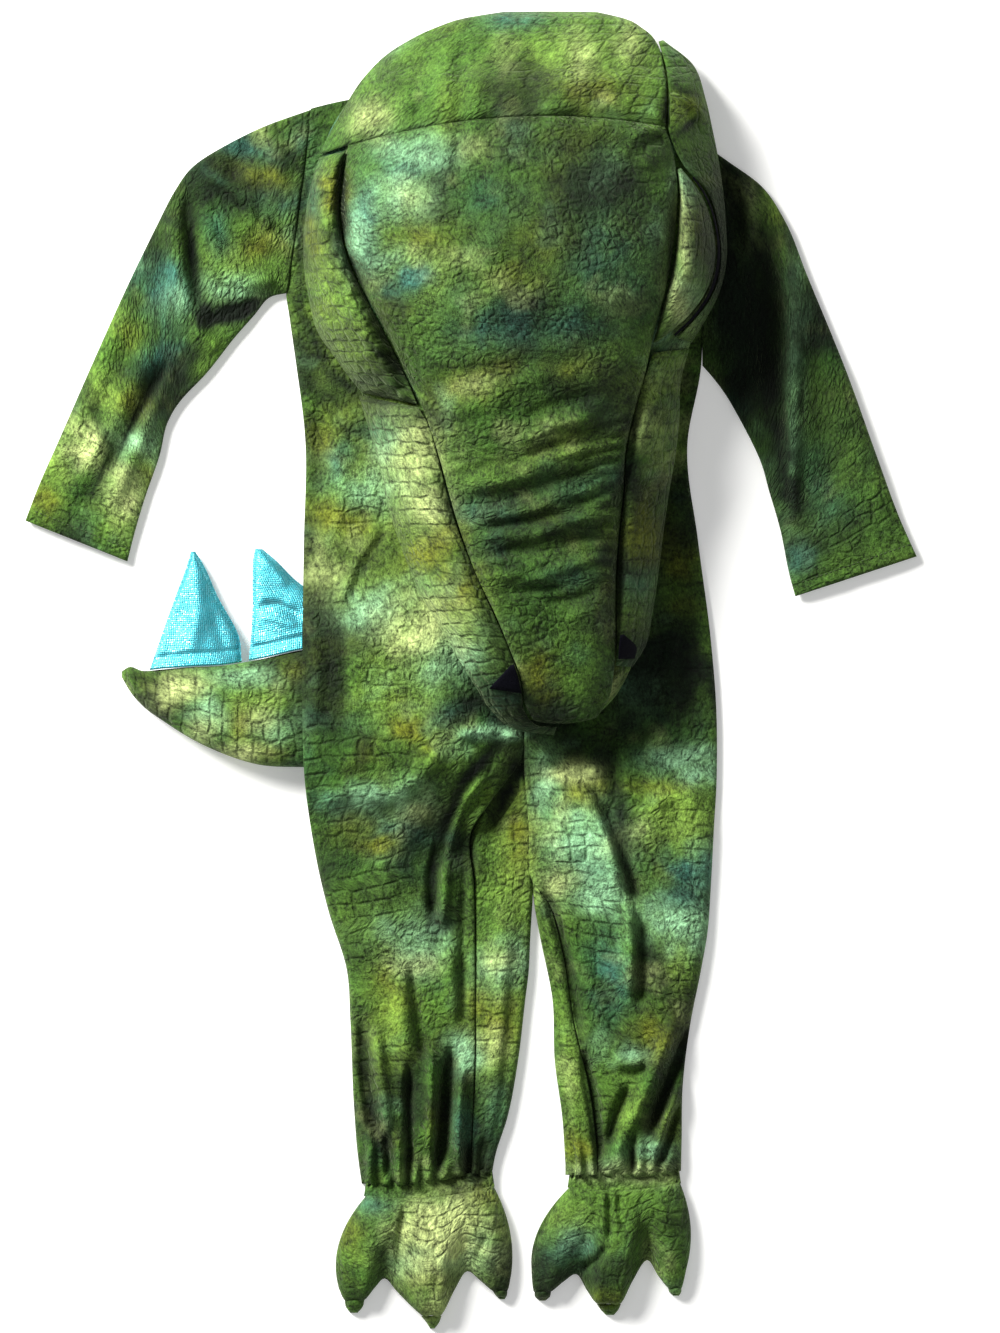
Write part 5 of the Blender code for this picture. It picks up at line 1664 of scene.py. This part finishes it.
def add_foot(side, toes, ankle):
    """A padded cover with three toes, from the ankle seam to the seams of the claw caps."""
    left_x, left_y, right_x, right_y, bow = ankle
    wall = sizes().wall
    rows, columns = FOOT_GRID
    s = even(columns)
    stops = even(len(toes["x"]))
    toe_x, toe_y, crest = (smooth_through(stops, toes[name], s) for name in ("x", "y", "crest"))
    t = even(rows)[:, None]
    share = np.clip((toe_x - toe_x[0]) / (toe_x[-1] - toe_x[0]), 0, 1)
    top_x = left_x + (right_x - left_x) * share
    top_y = left_y + (right_y - left_y) * share + bow * 4 * share * (1 - share)
    side_bulge = np.where(share < 0.5, -9.5, 5.5) * np.abs(2 * share - 1) ** 3
    x = top_x * (1 - t) + toe_x * t + side_bulge * 4 * t * (1 - t)
    y = top_y * (1 - t) + toe_y * t
    across = np.clip(1 - np.abs(2 * share - 1) ** 3.2, 0, 1) ** 0.5
    along = np.sqrt(np.clip(1 - ((t - 0.45) / 0.62) ** 2, 0.05, 1))
    valley = 1 - 0.72 * ease((t - 0.15) / 0.85) * (1 - np.clip(crest, 0, 1))
    wave = (x + 2.5 * cloud(x, y, 12, 7.0)) / PLEAT_PITCH
    pleats = np.sin(2 * pi * wave) * 1.1 * ease(1 - t * 4.5)
    high = wall + GAP + FOOT_RIM + (FOOT_HIGH - 6) * across * along * valley
    folds = fold_height(FOOT_FOLDS, x, y) + pleats + 0.7 * nap(x, y)
    upper = high + folds * across * np.minimum(1, along * 1.6)
    edge = np.minimum(t * 92, 60)
    upper = np.maximum(upper - roll(edge, 3.0, 2.0) - roll((1 - t) * 80, 3.5, 2.4), wall + GAP + 1.0)
    lower = np.full_like(upper, wall + GAP)
    cover = add_layer("foot_" + side + "_cover", x, y, lower, upper, plush())
    finish_padding(cover, ["foot_" + side])
    sole = add_layer("sole_" + side + "_cloth", x, y, 0 * lower, 0 * lower + wall, plush(), charted=0.0)
    finish_cloth(sole, ["sole_" + side])


def add_claw(name, cut):
    """A rounded padded cap on a toe, which reaches a little way under the cover's edge."""
    sections = []
    for part in ("root", "middle", "tip"):
        sections.append([cut[part + key] for key in ("_left", "_y", "_right", "_y")])
    rails = panel(*sections)
    rails["left_y"][0] += CAP_TUCK
    rails["right_y"][0] += CAP_TUCK
    rows, columns = CAP_GRID
    across = rounded(columns)
    x, y = panel_grid(rails, even(rows), across)
    t = even(rows)[:, None]
    taper = 1 - 0.62 * t**1.6
    round_off = roll((1 - t) * 8, 3.5, 2.6) + roll(t * 8, 1.5, 1.0)
    upper = 2.6 + 8 * taper * pillow(across)[None, :] - round_off
    piece = add_layer("claw_" + name + "_cap", x, y, 0 * x, np.maximum(upper, 0.8), plush())
    finish_padding(piece, ["claw_" + name])


def add_feet():
    for side, toes, ankle in (("left", TOES_LEFT, ANKLE_LEFT), ("right", TOES_RIGHT, ANKLE_RIGHT)):
        add_casing("casing_" + side, ankle)
        add_foot(side, toes, ankle)
    for k, name in enumerate(CLAW_NAMES):
        add_claw(name, {part: values[k] for part, values in CLAWS.items()})


# Tail
def add_tail():
    """The stuffed tail lying on its side, as one piece for both of its halves."""
    edges = {"left_x": TAIL["x"], "right_x": TAIL["x"], "left_y": TAIL["top"], "right_y": TAIL["bottom"]}
    stops = section_stops(edges)
    rows, columns = TAIL_GRID
    cut = {name: smooth_through(stops, TAIL[name], even(rows))[:, None] for name in TAIL}
    x, top, bottom, thick = (cut[name] for name in ("x", "top", "bottom", "thick"))
    s = rounded(columns)[None, :]
    x, y = x + 0 * s, top * (1 - s) + bottom * s
    middle = thick / 2 + 0 * s
    full = np.sqrt(np.clip(1 - np.abs(2 * s - 1) ** 2.4, 0, 1))
    lumps = nap(x, y) * full * ease((-100 - x) / 20) * 0.9
    near = middle + GAP / 2 + 0.6 + (middle - 1.2) * full + lumps
    under = np.clip(middle - 0.6 - (middle - 1.0) * np.minimum(1, 1.25 * full), 0, None)
    piece = add_layer("tail_stuffed", x, y, under, near, plush("scaled_plush"))
    finish_padding(piece, ["tail_near", "tail_far"])


def add_spikes():
    """Padded triangles of shiny cloth, each with its root along the tail's back seam."""
    shiny = once("turquoise_lame", lame_material)
    rows, columns = SPIKE_GRID
    across = rounded(columns)
    for name, rails, root_high, tip_high in (
        ("spike_outer", SPIKE_OUTER, 14, 5),
        ("spike_inner", SPIKE_INNER, 17, 6),
    ):
        x, y = panel_grid(rails, even(rows), across)
        t = even(rows)[:, None]
        y = y + (column(TAIL, "top", x[:1], "x") + SPIKE_SEAM - y[:1]) * (1 - t) ** 2
        left, right, top, bottom = edge_distances(x, y)
        away = np.minimum(np.minimum(left, right), bottom * 0.9 + 0.6)
        inside = ease(away / 3.2)
        centre = root_high * (1 - t) + tip_high * t + 0 * x
        fat = (5.2 - 3.0 * t) * pillow(across)[None, :] * inside
        crush = 0.6 * fold_height(SPIKE_FOLDS, x, y) + 0.2 * cloud(x, y, 14, 11.0)
        crush = crush - 1.6 * np.exp(-(((top - SPIKE_BAND) / 1.6) ** 2))
        half = 0.7 + np.maximum(fat + crush * inside, 0.1 * inside)
        piece = add_layer(name + "_lame", x, y, np.clip(centre - 0.7 - fat, 0, None), centre + half, shiny)
        finish_padding(piece, [name])


# Hood
def tiles(x, y, across, along):
    """Rounded tops of the largest embossed scales, in staggered rows."""
    row = (along + 0.2 * across + 5 * cloud(x, y, 24, 51.0)) / TILE_LONG
    cell = (across + 4 * cloud(x, y, 19, 52.0)) / TILE_WIDE + 0.5 * (np.floor(row) % 2)
    u, v = 2 * (cell - np.floor(cell)) - 1, 2 * (row - np.floor(row)) - 1
    return np.sqrt((1 - u**2) * (1 - v**2)) - 0.6


def add_hood_panel(
    name, rails, material, pad=0.0, over=0.0, wrinkles=None, sunk=2.2, puckers=1.0, lumps=1.0, tiled=0.0
):
    """A panel of the hood over the folded layers, turned down into the seams round it."""
    rows, columns = counts(rails)
    if tiled:
        rows, columns = 2 * rows, 2 * columns
    columns = max(columns, 8)
    across = rounded(columns)
    x, y = panel_grid(rails, even(rows), across)
    wall = sizes().wall
    left, right, top, bottom = edge_distances(x, y)
    away = np.minimum(np.minimum(left, right), np.minimum(top, bottom))
    lower = head(x, y) + GAP + over
    puff = pad * pillow(across, 2.2, 0.6)[None, :] * pillow(even(rows), 3.0, 0.5)[:, None]
    puff = puff + tiled * tiles(x, y, left, top) * ease(away / 5)
    if wrinkles is not None:
        slope = y - 0.22 * x + 5 * cloud(x, y, 42, 21.0) + 2 * cloud(x, y, 17, 22.0)
        fine = np.sin(2 * pi * slope / WRINKLE_PITCH) * (1 + 0.8 * cloud(x, y, 26, 23.0))
        fine = fine * ease((y - 22) / 40) * ease((196 - y) / 40)
        lower = lower + 1.1 * fold_height(wrinkles, x, y) + 0.9 * fine + 2.0 * ease((200 - y) / 60)
    lower = lower - roll(away, 5.0, sunk * 0.6) * slack(x, y)
    lumpy = lumps * (0.9 * cloud(x, y, 30, 14.0) + 0.5 * cloud(x, y, 13, 16.0))
    soft = (nap(x, y) + lumpy) * ease(away / 6) + puckers * seam_pull(x, y, away, 8.0)
    thick = np.maximum(wall + puff + soft - roll(away, 4.5, sunk * 0.7) * slack(x, y), 0.5)
    # Painted shade in the troughs of the folds, the grooves between the large scales and the wrinkles, and
    # painted highlight on their ridges
    crease = 0.8 * fold_height(HOOD_FOLDS, x, y)
    if tiled:
        crease = crease + 6.5 * np.minimum(tiles(x, y, left, top), 0.1)
    if wrinkles is not None:
        crease = crease + fold_height(wrinkles, x, y)
    return add_layer(name, x, y, lower, lower + thick, material, crease=crease)


def add_inside():
    """The folded layers inside the hood, which show as rounded edges under its panels."""
    rise = even(13)[1:-1]
    steps = LAYER_OUT * np.abs(np.sin(LAYER_EDGES * pi * rise)) ** 0.6 - 0.8
    over, back = even(60), even(14)[::-1]
    across = np.concatenate([0 * rise, over, 0 * rise + 1, back])
    out = np.concatenate([-steps, 0 * over, steps, 0 * back])
    high = np.concatenate([rise, 0 * over + 1, rise[::-1], 0 * back])[None, :]
    x, y = panel_grid(HOOD_UNDER, even(INSIDE_ROWS), across)
    base = chest(x, y) + GAP + 0.5 + 1.8 * ease(lift(x, y) / 2)
    top = np.maximum(head(x, y) - 6.0, base + 2)
    rings = np.stack([x + out[None, :], y, base + (top - base) * high], -1)
    return add_rings("hood_inside", rings, plush(), dyed(x, y + rings[..., 2], 0.4))


def add_hood():
    wall = sizes().wall
    under = add_inside()
    finish_padding(under, ["hood_under"])
    light, rough, scaly = plush(), plush("pebbled_plush"), plush("scaled_plush")
    inside, side = "hood_inside", "hood_side_right_cloth"
    muzzle = {"wrinkles": MUZZLE_WRINKLES, "sunk": 1.7, "lumps": 1.6}
    fold = {"over": wall + 6.0, "sunk": 0.4, "lumps": 0.3}
    for name, rails, slot, material, below, shape in (
        ("hood_crown", CROWN, "plush_light", light, inside, {"sunk": 1.3, "puckers": 1.8, "lumps": 4.2}),
        ("hood_brow", BROW, "plush", rough, inside, muzzle),
        ("hood_side_right", SIDE_RIGHT, "plush", light, inside, {}),
        ("hood_ear_fold", EAR_FOLD, "plush_light", light, side, fold),
        ("jaw_left", JAW_LEFT, "plush_light", scaly, inside, {"pad": 2.5}),
        ("jaw_right", JAW_RIGHT, "plush_light", scaly, inside, {"pad": 2.0}),
    ):
        piece = add_hood_panel(name + "_cloth", rails, material, **shape)
        finish_cloth(piece, [name])
    for name, rails, tiled in (("hood_pod_left", POD_LEFT, 2.2), ("hood_pod_right", POD_RIGHT, 0.0)):
        pod = add_hood_panel(name + "_pad", rails, scaly, pad=sizes().pad, sunk=3.6, lumps=3.4, tiled=tiled)
        finish_padding(pod, [name])


def add_dark_parts():
    """Nostrils and the line outside the right brow."""
    navy = once("navy_cloth", dark_material)
    wall = sizes().wall
    for name, rails, over in (
        ("nostril_left", NOSTRIL_LEFT, wall + 3.2),
        ("nostril_right", NOSTRIL_RIGHT, wall + 2.8),
        ("hood_eye_right", EYE_RIGHT, 0.0),
    ):
        piece = add_hood_panel(name + "_cloth", rails, navy, over=over, sunk=0.8, puckers=0.2)
        finish_cloth(piece, [name])


# Stitching
def add_stitches(name, path):
    """Short thread stitches along a line of points, each a rounded bar."""
    path = np.asarray(path, float)
    run = np.concatenate([[0], np.cumsum(np.linalg.norm(np.diff(path, axis=0), axis=1))])
    around = 2 * pi * np.arange(STITCH_SIDES) / STITCH_SIDES
    points, faces = [], []
    for start in np.arange(1.5, run[-1] - STITCH_LONG, STITCH_PITCH):
        ends = [
            np.array([np.interp(start + d, run, path[:, k]) for k in range(3)]) for d in (0, STITCH_LONG)
        ]
        along = (ends[1] - ends[0]) / np.linalg.norm(ends[1] - ends[0])
        flat = np.cross(along, (0, 0, 1))
        flat = flat / np.linalg.norm(flat)
        up = np.cross(flat, along)
        base = len(points)
        for share, girth, high in STITCH_RINGS:
            middle = ends[0] * (1 - share) + ends[1] * share + up * (STITCH_LIFT + high * STITCH_THICK)
            for a in around:
                points.append(middle + (flat * np.cos(a) + up * np.sin(a)) * STITCH_THICK * girth)
        for ring in range(len(STITCH_RINGS) - 1):
            for k in range(STITCH_SIDES):
                n = (k + 1) % STITCH_SIDES
                first, last = base + ring * STITCH_SIDES, base + (ring + 1) * STITCH_SIDES
                faces.append((first + k, last + k, last + n, first + n))
        faces.append(tuple(base + k for k in range(STITCH_SIDES)))
        faces.append(tuple(last + k for k in reversed(range(STITCH_SIDES))))
    mesh = bpy.data.meshes.new(name)
    mesh.from_pydata((np.array(points) * MM).tolist(), [], faces)
    mesh.uv_layers.new(name="cloth")
    mesh.materials.append(once("green_thread", thread_material))
    mesh.shade_smooth()
    piece = add_object(name, mesh)
    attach(piece, "root")


def surface_line(piece, start, end):
    """Points on top of a piece under a straight line seen from above."""
    line = []
    for share in even(SURFACE_POINTS):
        x, y = (start[k] * (1 - share) + end[k] * share for k in (0, 1))
        hit, where, _, _ = piece.ray_cast((x * MM, y * MM, 0.3), (0, 0, -1))
        if hit:
            line.append([where[0] / MM, where[1] / MM, where[2] / MM])
    if len(line) < 2:
        raise RuntimeError("no cloth of " + piece.name + " under the stitch line")
    return line


def add_stitching():
    for side, start, end in CUFF_SEAMS:
        cuff = bpy.data.objects["sleeve_" + side + "_cloth"]
        add_stitches("cuff_stitches_" + side, surface_line(cuff, start, end))


# Stage
def add_floor():
    mesh = bpy.data.meshes.new("floor")
    around = ((-1, -1), (1, -1), (1, 1), (-1, 1))
    mesh.from_pydata([(x * FLOOR_HALF, y * FLOOR_HALF, 0) for x, y in around], [], [(0, 1, 2, 3)])
    mesh.materials.append(floor_material())
    floor = add_object("floor", mesh)
    floor.location.z = -FLOOR_BELOW


def add_lamp(name, place, watts, wide, colour):
    """A square lamp aimed at the origin."""
    lamp = bpy.data.lights.new(name, "AREA")
    lamp.energy = watts
    lamp.size = wide
    lamp.color = colour
    light = add_object(name, lamp)
    light.location = place
    light.rotation_mode = "QUATERNION"
    light.rotation_quaternion = Vector(place).to_track_quat("Z", "Y")


def add_camera():
    """Looks straight down on the photo's frame."""
    lens = bpy.data.cameras.new("camera")
    lens.type = "ORTHO"
    lens.ortho_scale = VIEW_TALL * MM
    lens.clip_end = 20
    camera = add_object("camera", lens)
    camera.location = (VIEW_CENTRE[0] * MM, VIEW_CENTRE[1] * MM, CAMERA_HIGH * MM)
    bpy.context.scene.camera = camera


def add_stage():
    """A pale floor, three lamps and the photo's view from straight above."""
    add_floor()
    for lamp in LAMPS:
        add_lamp(*lamp)
    world = bpy.data.worlds.new("studio")
    world.use_nodes = True
    background = world.node_tree.nodes["Background"]
    background.inputs["Color"].default_value = (1, 1, 1, 1)
    background.inputs["Strength"].default_value = WORLD_STRENGTH
    bpy.context.scene.world = world
    bpy.context.scene.view_settings.view_transform = "Standard"
    add_camera()


# Operators and panel
class COSTUME_OT_suit(bpy.types.Operator):
    """Front and back panels of the suit"""

    bl_idname = "costume.suit"
    bl_label = "Suit"

    def execute(self, context):
        add_suit()
        return {"FINISHED"}


class COSTUME_OT_sleeves(bpy.types.Operator):
    """Both sleeves with their hems"""

    bl_idname = "costume.sleeves"
    bl_label = "Sleeves"

    def execute(self, context):
        add_sleeves()
        return {"FINISHED"}


class COSTUME_OT_feet(bpy.types.Operator):
    """Ankle casings, foot covers, soles and claw caps"""

    bl_idname = "costume.feet"
    bl_label = "Feet"

    def execute(self, context):
        add_feet()
        return {"FINISHED"}


class COSTUME_OT_tail(bpy.types.Operator):
    """Stuffed tail"""

    bl_idname = "costume.tail"
    bl_label = "Tail"

    def execute(self, context):
        add_tail()
        return {"FINISHED"}


class COSTUME_OT_spikes(bpy.types.Operator):
    """Shiny spikes along the tail"""

    bl_idname = "costume.spikes"
    bl_label = "Spikes"

    def execute(self, context):
        add_spikes()
        return {"FINISHED"}


class COSTUME_OT_hood(bpy.types.Operator):
    """Padded head: crown, brow, pods, jaws and what lies folded inside"""

    bl_idname = "costume.hood"
    bl_label = "Hood"

    def execute(self, context):
        add_hood()
        return {"FINISHED"}


class COSTUME_OT_nostrils(bpy.types.Operator):
    """Nostrils and the dark eye line"""

    bl_idname = "costume.nostrils"
    bl_label = "Nostrils and eye line"

    def execute(self, context):
        add_dark_parts()
        return {"FINISHED"}


class COSTUME_OT_stitching(bpy.types.Operator):
    """Thread stitches along the cuffs"""

    bl_idname = "costume.stitching"
    bl_label = "Stitching"

    def execute(self, context):
        add_stitching()
        return {"FINISHED"}


class COSTUME_OT_stage(bpy.types.Operator):
    """Floor, lights and the camera over the costume"""

    bl_idname = "costume.stage"
    bl_label = "Stage"

    def execute(self, context):
        add_stage()
        return {"FINISHED"}


OPERATORS = (
    COSTUME_OT_suit,
    COSTUME_OT_sleeves,
    COSTUME_OT_feet,
    COSTUME_OT_tail,
    COSTUME_OT_spikes,
    COSTUME_OT_hood,
    COSTUME_OT_nostrils,
    COSTUME_OT_stitching,
    COSTUME_OT_stage,
)


class COSTUME_PT_pieces(bpy.types.Panel):
    """The costume's sizes, colours and pieces"""

    bl_label = "Dinosaur costume"
    bl_space_type = "VIEW_3D"
    bl_region_type = "UI"
    bl_category = "Costume"

    def draw(self, context):
        for group in (context.scene.costume_sizes, context.scene.costume_colours):
            box = self.layout.box()
            for name in group.__annotations__:
                box.prop(group, name)
        for operator in OPERATORS:
            self.layout.operator(operator.bl_idname)


CLASSES = (CostumeSizes, CostumeColours, *OPERATORS, COSTUME_PT_pieces)


def register():
    for kind in CLASSES:
        bpy.utils.register_class(kind)
    bpy.types.Scene.costume_sizes = bpy.props.PointerProperty(type=CostumeSizes)
    bpy.types.Scene.costume_colours = bpy.props.PointerProperty(type=CostumeColours)


def unregister():
    del bpy.types.Scene.costume_colours
    del bpy.types.Scene.costume_sizes
    for kind in reversed(CLASSES):
        bpy.utils.unregister_class(kind)


def main():
    register()
    bpy.ops.costume.suit()
    bpy.ops.costume.sleeves()
    bpy.ops.costume.feet()
    bpy.ops.costume.tail()
    bpy.ops.costume.spikes()
    bpy.ops.costume.hood()
    bpy.ops.costume.nostrils()
    bpy.ops.costume.stitching()
    bpy.ops.costume.stage()


if __name__ == "__main__":
    main()
